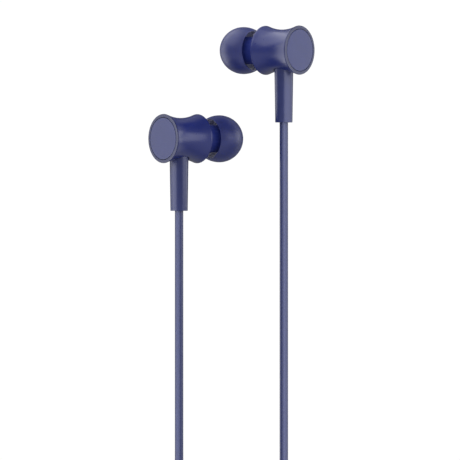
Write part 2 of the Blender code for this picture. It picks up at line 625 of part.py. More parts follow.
def add_charging_port(shell, pod, board_front):
    """The port in the pod's outer side, and its cover, which swings on its lower outer edge."""
    side = 0.5 * POD_WIDTH
    middle = board_front - GAP - 0.5 * USB_THICKNESS
    mouth = side - USB_SETBACK
    place = {"parent": pod, "location": (0, middle, USB_HEIGHT)}
    port = block("usb_port", (USB_DEPTH, USB_THICKNESS, USB_WIDTH), (mouth - 0.5 * USB_DEPTH, 0, 0), "steel",
                 rounding=1.2 * MM, segments=3, edges="x", **place)
    inner = (USB_THICKNESS - 2 * USB_WALL, USB_WIDTH - 2 * USB_WALL)
    pocket = block("cut_usb_pocket", (USB_POCKET + 1 * MM, *inner), (mouth + 0.5 * (1 * MM - USB_POCKET), 0, 0),
                   None, rounding=0.9 * MM, segments=3, edges="x", **place)
    tongue_length = USB_POCKET - COVER_PLUG_DEPTH + USB_SETBACK - COVER_RECESS
    tongue = block("join_usb_tongue", (tongue_length, USB_TONGUE_THICKNESS, USB_TONGUE_WIDTH),
                   (mouth - USB_POCKET + 0.5 * tongue_length - 0.3 * MM, 0, 0), None, **place)
    combine(port, pocket, "DIFFERENCE")
    combine(port, tongue, "UNION")

    slot = block("cut_usb_slot", (6 * MM, USB_THICKNESS + 2 * GAP, USB_WIDTH + 2 * GAP), (side, 0, 0), None,
                 rounding=1.4 * MM, segments=3, edges="x", **place)
    recess = block("cut_usb_recess", (4 * MM, COVER_WIDTH + 2 * GAP, COVER_LENGTH + 2 * GAP),
                   (side - COVER_RECESS + 2 * MM, 0, 0), None, rounding=1.2 * MM, edges="x", **place)
    combine(shell, slot, "DIFFERENCE")
    combine(shell, recess, "DIFFERENCE")

    bottom = side - COVER_RECESS + GAP
    top = bottom + COVER_THICKNESS
    hinge = {"parent": pod, "location": (top, middle, USB_HEIGHT - 0.5 * COVER_LENGTH)}
    cover = block("usb_cover", (COVER_THICKNESS, COVER_WIDTH, COVER_LENGTH),
                  (-0.5 * COVER_THICKNESS, 0, 0.5 * COVER_LENGTH), "silicone", rounding=0.9 * MM, edges="x",
                  **hinge)
    plug = block("join_cover_plug", (COVER_PLUG_DEPTH + 0.3 * MM, inner[0] - 2 * GAP, inner[1] - 2.6 * GAP),
                 (-COVER_THICKNESS + 0.5 * (0.3 * MM - COVER_PLUG_DEPTH), 0, 0.5 * COVER_LENGTH), None,
                 rounding=0.5 * MM, edges="x", **hinge)
    combine(cover, plug, "UNION")


def add_battery(pod):
    """The battery pod's cell and its protection board."""
    width = POD_WIDTH - 2 * POD_WALL - 2.6 * GAP
    depth = POD_DEPTH - 2 * POD_WALL - 3 * GAP
    block("battery_cell", (width, depth, CELL_LENGTH), (0, 0, CELL_HEIGHT), "cell", rounding=CELL_ROUND,
          segments=3, parent=pod)
    block("protection_board", GUARD_SIZE, (0, 0, GUARD_HEIGHT), "board", parent=pod)


def add_pod(kind, side, cord_end, down):
    """One pod in line with the end of its cord; returns where the band's sleeve starts below it."""
    reach = 0.5 * POD_LENGTH + CORD_BOOT_LENGTH - CORD_POCKET + GAP
    pod = add_empty(f"{kind}_pod", cord_end + down * reach, (0, math.atan2(-down.x, -down.z), 0))
    shell = add_pod_casing(kind, side, pod)
    if kind == "control":
        board_front = add_board(pod)
        add_buttons(shell, pod, board_front)
        add_light_and_microphone_hole(shell, pod)
        add_charging_port(shell, pod, board_front)
    else:
        add_battery(pod)
    below = 0.5 * POD_LENGTH + BAND_BOOT_LENGTH - BAND_POCKET + GAP
    return Vector(pod.location) + down * below


def band_spline(curve, start, start_way, finish, finish_way, tail):
    """The neckband's line: straight out of one pod, round the neck and straight into the other pod.

    A tail carries the line on past the sleeve's ends, into the pods.
    """
    middle = 0.5 * (start.x + finish.x)
    widest = min(start.z, finish.z) - LOOP_WIDEST_BELOW_PODS
    down = Vector((0.0, 0.0, -1.0))
    sideways = Vector((-1.0, 0.0, 0.0))
    leave = start + start_way * BAND_POCKET
    enter = finish + finish_way * BAND_POCKET
    right = Vector((middle + LOOP_HALF_WIDTH, start.y, widest))
    bottom = Vector((middle, start.y, widest - LOOP_HALF_WIDTH))
    left = Vector((middle - LOOP_HALF_WIDTH, start.y, widest))
    straight = (BAND_POCKET + tail) / 3
    right_flank = HANDLE_SHARE * (right - leave).length
    left_flank = HANDLE_SHARE * (left - enter).length
    quarter = CIRCLE_HANDLE * LOOP_HALF_WIDTH
    knots = [
        (start - start_way * tail, start_way, straight, straight),
        (leave, start_way, straight, right_flank),
        (right, down, right_flank, quarter),
        (bottom, sideways, quarter, quarter),
        (left, -down, quarter, left_flank),
        (enter, -finish_way, left_flank, straight),
        (finish - finish_way * tail, -finish_way, straight, straight),
    ]
    spline = curve.splines.new("BEZIER")
    spline.bezier_points.add(len(knots) - 1)
    for target, (place, way, before, after) in zip(spline.bezier_points, knots):
        target.handle_left_type = "FREE"
        target.handle_right_type = "FREE"
        target.co = place
        target.handle_left = place - way * before
        target.handle_right = place + way * after
    spline.use_smooth = True


def add_neckband(start, start_way, finish, finish_way):
    """The soft sleeve and the springy wire inside it."""
    for name, radius, material, tail, resolution in (("band_sleeve", BAND_RADIUS, "silicone", 0.0, 2),
                                                     ("memory_wire", WIRE_RADIUS, "steel", WIRE_TAIL, 1)):
        curve = bpy.data.curves.new(name, "CURVE")
        curve.dimensions = "3D"
        curve.resolution_u = 8
        curve.bevel_depth = radius
        curve.bevel_resolution = resolution
        curve.use_fill_caps = tail > 0
        band_spline(curve, start, start_way, finish, finish_way, tail)
        obj = add_object(name, curve, material)
        if name == "band_sleeve":
            wall = obj.modifiers.new("Wall", "SOLIDIFY")
            wall.thickness = BAND_WALL
            wall.offset = -1.0


def build():
    """The whole assembly."""
    clear_scene()
    right_mouth = Vector((0.0, 0.0, 0.0))
    inward_reach = (BUD_LENGTH - STEM_AXIS) * math.sin(BUD_ANGLE)
    left_mouth = Vector((2 * inward_reach - CORD_SPACING, 0.0, -LEFT_BUD_DROP))
    ends = {}
    for kind, side, sign, mouth in (("control", "right", 1, right_mouth), ("battery", "left", -1, left_mouth)):
        cord_top = add_bud(side, sign, mouth)
        cord_end, down = add_cord(side, sign, cord_top)
        ends[side] = (add_pod(kind, side, cord_end, down), down)
    add_neckband(*ends["right"], *ends["left"])


build()
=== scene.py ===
"""Neckband earphones: camera, cords, detailed pieces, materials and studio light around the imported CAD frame.

Left is -X and right is +X, +Z is up, and the camera looks along +Y. Everything is in metres.
"""

import json
from math import asin, atan2, cos, pi, radians, sin, sqrt, tan, tau

import bmesh
import bpy
from mathutils import Matrix, Vector


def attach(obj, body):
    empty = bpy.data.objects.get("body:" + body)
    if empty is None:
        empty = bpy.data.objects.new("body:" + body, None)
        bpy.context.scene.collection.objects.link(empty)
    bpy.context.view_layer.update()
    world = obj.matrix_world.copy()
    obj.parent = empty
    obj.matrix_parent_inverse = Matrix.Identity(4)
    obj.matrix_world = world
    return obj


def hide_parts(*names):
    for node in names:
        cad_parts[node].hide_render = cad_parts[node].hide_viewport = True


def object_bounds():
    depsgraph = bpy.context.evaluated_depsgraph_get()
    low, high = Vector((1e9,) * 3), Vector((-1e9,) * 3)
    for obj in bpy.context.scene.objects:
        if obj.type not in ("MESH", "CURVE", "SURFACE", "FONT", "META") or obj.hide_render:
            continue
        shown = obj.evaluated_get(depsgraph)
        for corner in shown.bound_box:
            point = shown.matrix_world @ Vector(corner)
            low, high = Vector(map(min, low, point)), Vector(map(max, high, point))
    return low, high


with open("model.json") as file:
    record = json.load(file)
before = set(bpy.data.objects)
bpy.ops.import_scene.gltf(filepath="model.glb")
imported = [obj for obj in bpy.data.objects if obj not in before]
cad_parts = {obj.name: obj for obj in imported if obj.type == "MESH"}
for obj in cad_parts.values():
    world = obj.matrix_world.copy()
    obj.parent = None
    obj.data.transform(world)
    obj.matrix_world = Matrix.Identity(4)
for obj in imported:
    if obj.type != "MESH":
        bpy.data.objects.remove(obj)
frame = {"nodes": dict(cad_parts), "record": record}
cad_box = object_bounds()

MM = 0.001
SIDES = {"left": -1, "right": 1}  # which way each side lies along X

# Places from the CAD model
DEPTH_PLANE = -0.011485  # Y of the stems, cords, pods and neckband
BUD_PLACES = {  # origin of each bud's own frame, on its axis
    "right": Vector((0.018676, -0.014591, 0.0)),
    "left": Vector((-0.016305, -0.014591, -0.02281)),
}
BUD_ANGLE = radians(52.0)  # between a bud's axis and the view's direction
STEM_AXIS = 5.045 * MM  # from the bud's origin along its axis to the stem's
STEM_BOTTOM = 18.46 * MM  # below the bud's axis

# A cord, a little thicker than in the CAD model
CORD_RADIUS = 1.09 * MM
CORD_EDGE = 0.12 * MM  # bevel at each end
CORD_ENTRY = 1.7 * MM  # the cord's end lies this far inside the stem
CORD_STEP = 1.6 * MM  # between the rings of its surface
CORD_SIDES = 40
CORD_ROUTE = [  # (outwards, down) from the cord's upper end
    (0.0, 0.0), (0.0, 0.0125), (0.0, 0.025), (0.0, 0.0375), (0.0, 0.05), (0.0, 0.0625),
    (0.0, 0.075), (0.0, 0.0875), (0.0, 0.1), (0.0001, 0.1125), (0.0005, 0.125), (0.0015, 0.1374),
    (0.0031, 0.1498), (0.0054, 0.1621), (0.0086, 0.1742), (0.0127, 0.186), (0.0173, 0.1976),
]

# Camera: a long lens far off, level with the middle of the view
VIEW_CENTRE = Vector((0.00081, DEPTH_PLANE, -0.04639))
VIEW_WIDTH = 0.1187  # at the cords
CAMERA_DISTANCE = 4.0

# Pieces that share their lamps
LIT = {key: bpy.data.collections.new(f"lit_{key}") for key in ("left", "right", "cord_left", "cord_right")}

SHARP_ANGLE = 32.0  # of the crisp edges of most pieces, in degrees


# ---------------- camera and cords

def add_camera():
    """The camera, level and square on, with a lens that takes in the view's width at the cords."""
    data = bpy.data.cameras.new("camera")
    data.sensor_width = 36.0
    data.lens = data.sensor_width * CAMERA_DISTANCE / VIEW_WIDTH
    data.clip_start = 0.05
    data.clip_end = 12.0
    camera = bpy.data.objects.new("camera", data)
    camera.location = VIEW_CENTRE + Vector((0.0, -CAMERA_DISTANCE, 0.0))
    camera.rotation_euler = (radians(90.0), 0.0, 0.0)
    bpy.context.scene.collection.objects.link(camera)
    bpy.context.scene.camera = camera


def link(obj, side=None):
    """Put a piece in the scene, lit by the lamps of its side, or by all of them."""
    bpy.context.scene.collection.objects.link(obj)
    for name in SIDES:
        if side in (None, name):
            LIT[name].objects.link(obj)
    return obj


def piece(name, mesh, materials, side, sharp):
    """A mesh made into a smooth-shaded object in the scene; sharp is the angle of its crisp edges."""
    mesh.shade_smooth()
    mesh.set_sharp_from_angle(angle=radians(sharp))
    for material in materials:
        mesh.materials.append(material)
    return link(bpy.data.objects.new(name, mesh), side)


def mesh_object(name, verts, faces, material, side=None, sharp=40.0, matrix=None):
    """An object at the origin from vertices and faces, its normals made to point outwards."""
    mesh = bpy.data.meshes.new(name)
    mesh.from_pydata([tuple(v) for v in verts], [], faces)
    if matrix is not None:
        mesh.transform(matrix)
    form = bmesh.new()
    form.from_mesh(mesh)
    bmesh.ops.remove_doubles(form, verts=form.verts, dist=1e-7)
    bmesh.ops.recalc_face_normals(form, faces=form.faces)
    form.to_mesh(mesh)
    form.free()
    return piece(name, mesh, [material], side, sharp)


def finished(name, form, materials, side, matrix, sharp=SHARP_ANGLE):
    """An object from a bmesh."""
    mesh = bpy.data.meshes.new(name)
    form.to_mesh(mesh)
    form.free()
    mesh.transform(matrix)
    return piece(name, mesh, materials, side, sharp)


def along(points, step):
    """Points about one step apart on a Catmull-Rom curve through the given ones."""
    knots = [2 * points[0] - points[1], *points, 2 * points[-1] - points[-2]]
    fine = [points[0]]
    for a, b, c, d in zip(knots, knots[1:], knots[2:], knots[3:]):
        count = max(1, round((c - b).length / step))
        for k in range(1, count + 1):
            t = k / count
            fine.append(0.5 * (2 * b + (c - a) * t + (2 * a - 5 * b + 4 * c - d) * t ** 2
                               + (3 * b - a - 3 * c + d) * t ** 3))
    return fine


def tube_rings(points, radii, sides):
    """Rings of vertices square to a path that lies in a plane of constant Y."""
    rings = []
    for i, point in enumerate(points):
        ahead = points[min(i + 1, len(points) - 1)] - points[max(i - 1, 0)]
        across = Vector((0.0, 1.0, 0.0))
        outward = ahead.normalized().cross(across)
        turns = [tau * k / sides for k in range(sides)]
        rings.append([point + radii[i] * (cos(turn) * outward + sin(turn) * across) for turn in turns])
    return rings


def circle(radius, height, steps):
    """Points round the Z axis."""
    turns = [tau * k / steps for k in range(steps)]
    return [(radius * cos(turn), radius * sin(turn), height) for turn in turns]


def bridge(low, high, count):
    """Faces between two rings of this many vertices, given the index of each ring's first one."""
    return [(low + k, low + (k + 1) % count, high + (k + 1) % count, high + k) for k in range(count)]


def skin(rings):
    """Vertices and faces of a closed body through rings, with a face over each end."""
    sides = len(rings[0])
    verts = [v for ring in rings for v in ring]
    faces = []
    for i in range(len(rings) - 1):
        faces += bridge(i * sides, (i + 1) * sides, sides)
    faces.append(tuple(range(sides)))
    faces.append(tuple(range(len(verts) - sides, len(verts))))
    return verts, faces


def cord_route(side):
    """The points of one cord, from inside the stem down to the pod's boot."""
    bud = BUD_PLACES[side]
    inward = Vector((-SIDES[side] * sin(BUD_ANGLE), cos(BUD_ANGLE), 0.0))
    top = bud + inward * STEM_AXIS + Vector((0.0, 0.0, -STEM_BOTTOM + CORD_ENTRY))
    return [top + Vector((SIDES[side] * out, 0.0, -down)) for out, down in CORD_ROUTE]


def add_cord(side, material):
    """One free cord: a round lead that hangs straight and then bends outwards into its pod."""
    points = along(cord_route(side), CORD_STEP)
    rings = tube_rings(
        [points[0], points[0] + Vector((0, 0, -CORD_EDGE)), *points[1:-1],
         points[-1].lerp(points[-2], 0.08), points[-1]],
        [CORD_RADIUS - CORD_EDGE, *[CORD_RADIUS] * len(points), CORD_RADIUS - CORD_EDGE], CORD_SIDES)
    verts, faces = skin(rings)
    cord = mesh_object(f"lead_{side}", verts, faces, material, side, sharp=50.0)
    LIT[f"cord_{side}"].objects.link(cord)
    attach(cord, "earphones")
    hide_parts(f"cord_{side}")


# ---------------- materials

class Material:
    """A node material on object coordinates: a Principled shader, and helpers for the detail in it."""

    def __init__(self, name, colour, roughness, metallic=0.0, **constants):
        self.data = bpy.data.materials.new(name)
        self.data.use_nodes = True
        self.tree = self.data.node_tree
        self.shader = self.tree.nodes["Principled BSDF"]
        self.colour = (*colour, 1.0)
        self.set(self.shader, "Base Color", self.colour)
        self.set(self.shader, "Roughness", roughness)
        self.set(self.shader, "Metallic", metallic)
        for key, value in constants.items():
            self.set(self.shader, key.replace("_", " "), value)
        self.place = self.add("ShaderNodeTexCoord").outputs["Object"]

    def add(self, kind, **inputs):
        """A new node, with values for its inputs by name."""
        node = self.tree.nodes.new(kind)
        for key, value in inputs.items():
            self.set(node, key.replace("_", " "), value)
        return node

    @staticmethod
    def set(node, key, value):
        node.inputs[key].default_value = value

    def join(self, source, target):
        self.tree.links.new(source, target)

    def stretched(self, scale):
        """Object coordinates, scaled differently along each axis."""
        node = self.add("ShaderNodeMapping", Scale=scale)
        self.join(self.place, node.inputs["Vector"])
        return node.outputs["Vector"]

    def noise(self, size, detail=3.0, place=None):
        """Noise whose features are about this big."""
        node = self.add("ShaderNodeTexNoise", Scale=1.0 / size, Detail=detail, Roughness=0.55)
        self.join(place or self.place, node.inputs["Vector"])
        return node.outputs["Fac"]

    def cells(self, size, feature="F1"):
        """Distance to the nearest of scattered points about this far apart, or to the edge between two."""
        node = self.add("ShaderNodeTexVoronoi", Scale=1.0 / size)
        node.feature = feature
        self.join(self.place, node.inputs["Vector"])
        return node.outputs["Distance"]

    def bands(self, size):
        """Sine bands across the Z axis, this far apart."""
        node = self.add("ShaderNodeTexWave", Scale=tau / 20.0 / size)
        node.bands_direction = "Z"
        self.join(self.place, node.inputs["Vector"])
        return node.outputs["Fac"]

    def ranged(self, source, low, high, start, end):
        """A value between start and end, mapped on to the range from low to high."""
        node = self.add("ShaderNodeMapRange", From_Min=start, From_Max=end, To_Min=low, To_Max=high)
        self.join(source, node.inputs["Value"])
        return node.outputs["Result"]

    def shaded(self, source, darker, lighter):
        """Vary the colour between a darker and a lighter multiple of itself."""
        ramp = self.add("ShaderNodeValToRGB")
        ramp.color_ramp.elements[0].position = 0.3
        ramp.color_ramp.elements[1].position = 0.7
        for element, share in zip(ramp.color_ramp.elements, (darker, lighter)):
            element.color = (*[min(1.0, c * share) for c in self.colour[:3]], 1.0)
        self.join(source, ramp.inputs["Fac"])
        self.join(ramp.outputs["Color"], self.shader.inputs["Base Color"])

    def rough(self, source, low, high):
        """Vary the roughness between two values."""
        self.join(self.ranged(source, low, high, 0.1, 0.9), self.shader.inputs["Roughness"])

    def relief(self, *layers):
        """Bumps, each a (source, depth in metres), one on top of the other."""
        normal = None
        for source, depth in layers:
            bump = self.add("ShaderNodeBump", Strength=1.0, Distance=depth)
            self.join(source, bump.inputs["Height"])
            if normal is not None:
                self.join(normal, bump.inputs["Normal"])
            normal = bump.outputs["Normal"]
        self.join(normal, self.shader.inputs["Normal"])


# Colours are linear
NAVY = (0.009, 0.0185, 0.156)


def satin_plastic(name, colour, roughness=0.30):
    """Satin moulded plastic: a fine spark-eroded grain and a faint unevenness of the moulding."""
    mat = Material(name, colour, roughness)
    mat.shaded(mat.noise(2.6 * MM), 0.95, 1.05)
    mat.rough(mat.noise(1.1 * MM, 1.0), roughness - 0.04, roughness + 0.04)
    mat.relief((mat.noise(0.10 * MM, 2.0), 0.0011 * MM), (mat.noise(1.4 * MM, 1.0), 0.0016 * MM))
    return mat.data


def silicone(name, colour, roughness, depth=0.0):
    """Soft silicone: smooth and a little waxy, with the faint cloudiness of the rubber."""
    mat = Material(name, colour, roughness, Subsurface_Weight=depth, Subsurface_Scale=0.0006,
                   Subsurface_Radius=(1.0, 1.0, 1.0))
    mat.shaded(mat.noise(1.8 * MM), 0.94, 1.06)
    mat.rough(mat.noise(0.7 * MM), roughness - 0.03, roughness + 0.04)
    mat.relief((mat.noise(0.16 * MM, 2.0), 0.0016 * MM))
    return mat.data


def cord_jacket(name, colour, roughness):
    """An extruded cord jacket: faint flow lines along it and a dry, fine-grained surface."""
    mat = Material(name, colour, roughness)
    lines = mat.stretched((1.0, 1.0, 0.03))
    mat.shaded(mat.noise(0.25 * MM, place=lines), 0.93, 1.07)
    mat.rough(mat.noise(0.8 * MM), roughness - 0.03, roughness + 0.04)
    mat.relief((mat.noise(0.12 * MM, 2.0, place=lines), 0.0016 * MM),
               (mat.noise(0.09 * MM, 1.0), 0.0008 * MM))
    return mat.data


def brushed_metal(name, colour, roughness, scale=(1.0, 1.0, 0.05)):
    """Metal with fine brushing, drawn out along the axis that is scaled down."""
    mat = Material(name, colour, roughness, 1.0)
    lines = mat.stretched(scale)
    mat.shaded(mat.noise(0.12 * MM, place=lines), 0.88, 1.05)
    mat.rough(mat.noise(0.2 * MM, place=lines), roughness - 0.05, roughness + 0.08)
    mat.relief((mat.noise(0.05 * MM, 2.0, place=lines), 0.0008 * MM))
    return mat.data


def wound_copper():
    """Enamelled copper wire, wound in turns."""
    mat = Material("copper_winding", (0.62, 0.24, 0.10), 0.25, 1.0)
    mat.shaded(mat.noise(0.4 * MM), 0.8, 1.1)
    mat.relief((mat.bands(0.09 * MM), 0.02 * MM))
    return mat.data


def film():
    """The diaphragm's film: thin, pearly and slightly creased."""
    mat = Material("diaphragm_film", (0.62, 0.60, 0.54), 0.25, Coat_Weight=0.5, Coat_Roughness=0.1)
    mat.shaded(mat.noise(0.8 * MM), 0.9, 1.05)
    mat.relief((mat.noise(0.35 * MM, 3.0), 0.006 * MM))
    return mat.data


def solder_mask():
    """A circuit board: green mask, with the copper beneath showing as paler tracks."""
    mat = Material("solder_mask", (0.012, 0.10, 0.045), 0.35, Coat_Weight=0.4, Coat_Roughness=0.15)
    tracks = mat.cells(1.5 * MM, feature="DISTANCE_TO_EDGE")
    mat.shaded(mat.ranged(tracks, 0.7, 0.3, 0.0, 0.12), 0.85, 1.9)
    mat.relief((mat.ranged(tracks, 1.0, 0.0, 0.0, 0.12), 0.02 * MM), (mat.noise(0.1 * MM), 0.002 * MM))
    return mat.data


def black_plastic():
    """Black moulded plastic of small electronic parts."""
    mat = Material("black_plastic", (0.018, 0.018, 0.02), 0.45)
    mat.shaded(mat.noise(0.6 * MM), 0.8, 1.3)
    mat.rough(mat.noise(0.3 * MM), 0.4, 0.52)
    mat.relief((mat.noise(0.06 * MM, 2.0), 0.002 * MM))
    return mat.data


def light_guide():
    """Frosted clear plastic over the light."""
    mat = Material("frosted_lens", (0.82, 0.84, 0.88), 0.28, Subsurface_Weight=0.3, Subsurface_Scale=0.0005)
    mat.shaded(mat.noise(0.3 * MM), 0.94, 1.03)
    mat.rough(mat.noise(0.1 * MM), 0.22, 0.34)
    mat.relief((mat.noise(0.07 * MM, 2.0), 0.002 * MM))
    return mat.data


def cell_pouch():
    """The battery's aluminium pouch: dull silver, wrinkled, with pressed creases."""
    mat = Material("cell_pouch", (0.50, 0.51, 0.53), 0.34, 0.9)
    mat.shaded(mat.noise(2.0 * MM), 0.88, 1.06)
    mat.rough(mat.noise(0.8 * MM), 0.28, 0.42)
    mat.relief((mat.noise(1.2 * MM, 4.0), 0.03 * MM), (mat.cells(2.5 * MM), 0.02 * MM))
    return mat.data


SHELL = satin_plastic("shell_satin", NAVY)
CAP = satin_plastic("cap_satin", (0.0125, 0.0225, 0.143), 0.34)
TIP = silicone("tip_silicone", (0.0095, 0.0185, 0.155), 0.40, 0.35)
# Sleeve: the tip's navy silicone painted lighter, as painted light on the sleeve in the shade of the skirt's
# pocket
SLEEVE_WITH_PAINTED_LIGHT = silicone("sleeve_silicone_painted_light", (0.0115, 0.025, 0.21), 0.45)
# Inside the tip's skirt: pale grey painted light, standing for the light that comes through the thin navy
# silicone into the pocket
TIP_INSIDE_PAINTED_LIGHT = silicone("tip_inside_painted_light", (0.62, 0.62, 0.66), 0.5, 0.8)
# Bezel ring and the wall of its recess: a darker copy of the shell's navy satin, painted shade
BEZEL_PAINTED_SHADE = satin_plastic("bezel_satin_painted_shade", (0.009, 0.015, 0.085), 0.33)
STEM = satin_plastic("stem_satin", (0.0105, 0.0195, 0.122), 0.32)
JACKET = cord_jacket("cord_jacket", (0.0105, 0.020, 0.110), 0.38)
BAND_RUBBER = silicone("band_silicone", (0.0115, 0.021, 0.145), 0.42)
POD = satin_plastic("pod_satin", NAVY, 0.33)
BUTTON = silicone("button_rubber", (0.014, 0.024, 0.16), 0.45)
MARK = satin_plastic("key_print", (0.30, 0.31, 0.40), 0.5)
STEEL = brushed_metal("brushed_steel", (0.56, 0.56, 0.57), 0.30)
NICKEL = brushed_metal("nickel_plate", (0.60, 0.59, 0.56), 0.20, (1.0, 1.0, 1.0))
LENS = light_guide()

# The record's slots, and the finish of a CAD piece in each
SLOTS = {part["node"]: part["material_slot"] for part in frame["record"]["subparts"]}
FINISHES = {"shell": SHELL, "cap": CAP, "silicone": TIP, "cord": JACKET, "pod": POD, "button": BUTTON,
            "steel": STEEL, "magnet": NICKEL, "copper": wound_copper(), "film": film(),
            "board": solder_mask(), "switch": black_plastic(), "lens": LENS, "cell": cell_pouch()}


# ---------------- shapes

def filleted(corners, steps=5):
    """An outline with rounded corners; each corner is (radius, height) or (radius, height, rounding)."""
    points = []
    count = len(corners)
    for i, corner in enumerate(corners):
        here = Vector(corner[:2])
        rounding = corner[2] if len(corner) > 2 else 0.0
        if not rounding:
            points.append(here)
            continue
        before = Vector(corners[i - 1][:2]) - here
        after = Vector(corners[(i + 1) % count][:2]) - here
        reach = min(rounding, 0.49 * before.length, 0.49 * after.length)
        start = here + before.normalized() * reach
        end = here + after.normalized() * reach
        for k in range(steps + 1):
            t = k / steps
            points.append((1 - t) ** 2 * start + 2 * t * (1 - t) * here + t ** 2 * end)
    return [tuple(p) for p in points]


def lathe(name, outline, material, side, steps, matrix, closed=True, sharp=SHARP_ANGLE):
    """Turn an outline of (radius, height) about local Z; closed joins its last point to its first."""
    verts = []
    rows = []
    for radius, height in outline:
        ring = circle(radius, height, steps) if radius > 1e-7 else [(0.0, 0.0, height)]
        rows.append((len(verts), len(ring)))
        verts += ring
    faces = []
    pairs = list(zip(rows, rows[1:]))
    if closed:
        pairs.append((rows[-1], rows[0]))
    for (low, low_count), (high, high_count) in pairs:
        if low_count == high_count == steps:
            faces += bridge(low, high, steps)
        elif high_count == steps:
            faces += [(low, high + (k + 1) % steps, high + k) for k in range(steps)]
        elif low_count == steps:
            faces += [(low + k, low + (k + 1) % steps, high) for k in range(steps)]
    return mesh_object(name, verts, faces, material, side, sharp, matrix)


def carve(obj, cutters):
    """Cut the cutters out of a piece for good, and remove them."""
    for cutter in cutters:
        boolean = obj.modifiers.new("cut", "BOOLEAN")
        boolean.object = cutter
        boolean.operation = "DIFFERENCE"
        boolean.solver = "EXACT"
    bpy.context.view_layer.update()
    graph = bpy.context.evaluated_depsgraph_get()
    mesh = bpy.data.meshes.new_from_object(obj.evaluated_get(graph))
    obj.modifiers.clear()
    obj.data = mesh
    mesh.shade_smooth()
    mesh.set_sharp_from_angle(angle=radians(SHARP_ANGLE))
    for cutter in cutters:
        bpy.data.objects.remove(cutter)


def standing_for(obj, node, body="earphones"):
    """A finished piece rides on a body and stands for its CAD node, which is hidden."""
    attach(obj, body)
    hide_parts(node)


# ---------------- the two buds

# Sizes along a bud's axis are from its origin, at the housing's back rim, towards the ear
BUD_STEPS = 112  # facets round each of its turned pieces
RIM_RADIUS = 6.35 * MM
WAIST_RADIUS = 5.34 * MM
SPOOL_LENGTH = 10.95 * MM  # from the back rim to the front one
RIM_ROUND = 0.5 * MM  # rounding of the front rim, across
RIM_BULGE = 0.2 * MM  # the same, along the axis
BACK_FACE = -0.25 * MM  # face of the bezel and of the cap
BEZEL_ROUND = 0.42 * MM
RECESS_RADIUS = 5.5 * MM  # the bezel's opening
CAP_RADIUS = 5.40 * MM
CAP_INNER = 0.45 * MM
CAP_SEAT = 0.75 * MM
CAVITY_RADIUS = 4.35 * MM
CAVITY_END = 10.5 * MM
SHOULDER_FACE = 11.95 * MM
SHOULDER_RADIUS = 5.2 * MM
NOZZLE_RADIUS = 2.4 * MM
NOZZLE_LIP = 0.12 * MM  # a ridge that keeps the ear tip on
NOZZLE_BORE = 1.7 * MM
NOZZLE_END = 16.9 * MM
MESH_SEAT = 0.7 * MM  # the wax guard's seat lies this deep in the nozzle
MESH_STEP = 0.3 * MM  # and is this much wider than the bore

# The ear tip, whose dome is an ellipse round a centre on the axis
TIP_RADIUS = 6.09 * MM
TIP_FRONT = 6.25 * MM  # the ellipse's half-length towards the ear
TIP_BACK = 6.6 * MM  # and towards the housing
TIP_WALL = 0.45 * MM
TIP_LIP = 0.16 * MM  # wall at the skirt's edge
TIP_END = 23.7 * MM
TIP_MOUTH_REACH = 5.5 * MM  # from the dome's centre to the end
TIP_SKIRT_REACH = 3.4 * MM  # and to the skirt's edge
TIP_POCKET_ANGLE = radians(-4.0)  # where the skirt's inside ends
TIP_MOUTH = 2.0 * MM
TIP_BORE = 2.5 * MM
TIP_SLEEVE = 3.55 * MM  # outer radius of the sleeve over the nozzle
TIP_FOOT = 12.2 * MM  # the sleeve's end next to the housing
TIP_SLEEVE_ROWS = 6  # rows of facets on the sleeve's outer side

STEM_TOP_RADIUS = 2.45 * MM
STEM_BOTTOM_RADIUS = 2.23 * MM
STEM_TOP = 4.05 * MM  # below the bud's axis
STEM_BORE = 0.75 * MM
STEM_SEAM = 0.24 * MM  # round the stem where it enters the housing
SOCKET_DEPTH = 2.0 * MM  # of the pocket that takes a cord's end
SOCKET_SPACE = 0.04 * MM  # round the cord in it


def bud_matrix(side):
    """A bud's own frame: its Z axis points into the ear, and its Y axis is up."""
    return (Matrix.Translation(BUD_PLACES[side])
            @ Matrix.Rotation(-SIDES[side] * (pi - BUD_ANGLE), 4, "Z")
            @ Matrix.Rotation(pi / 2, 4, "X"))


def stem_place(side):
    """The point on the bud's axis where the stem's own axis crosses it."""
    inward = Vector((-SIDES[side] * sin(BUD_ANGLE), cos(BUD_ANGLE), 0.0))
    return BUD_PLACES[side] + inward * STEM_AXIS


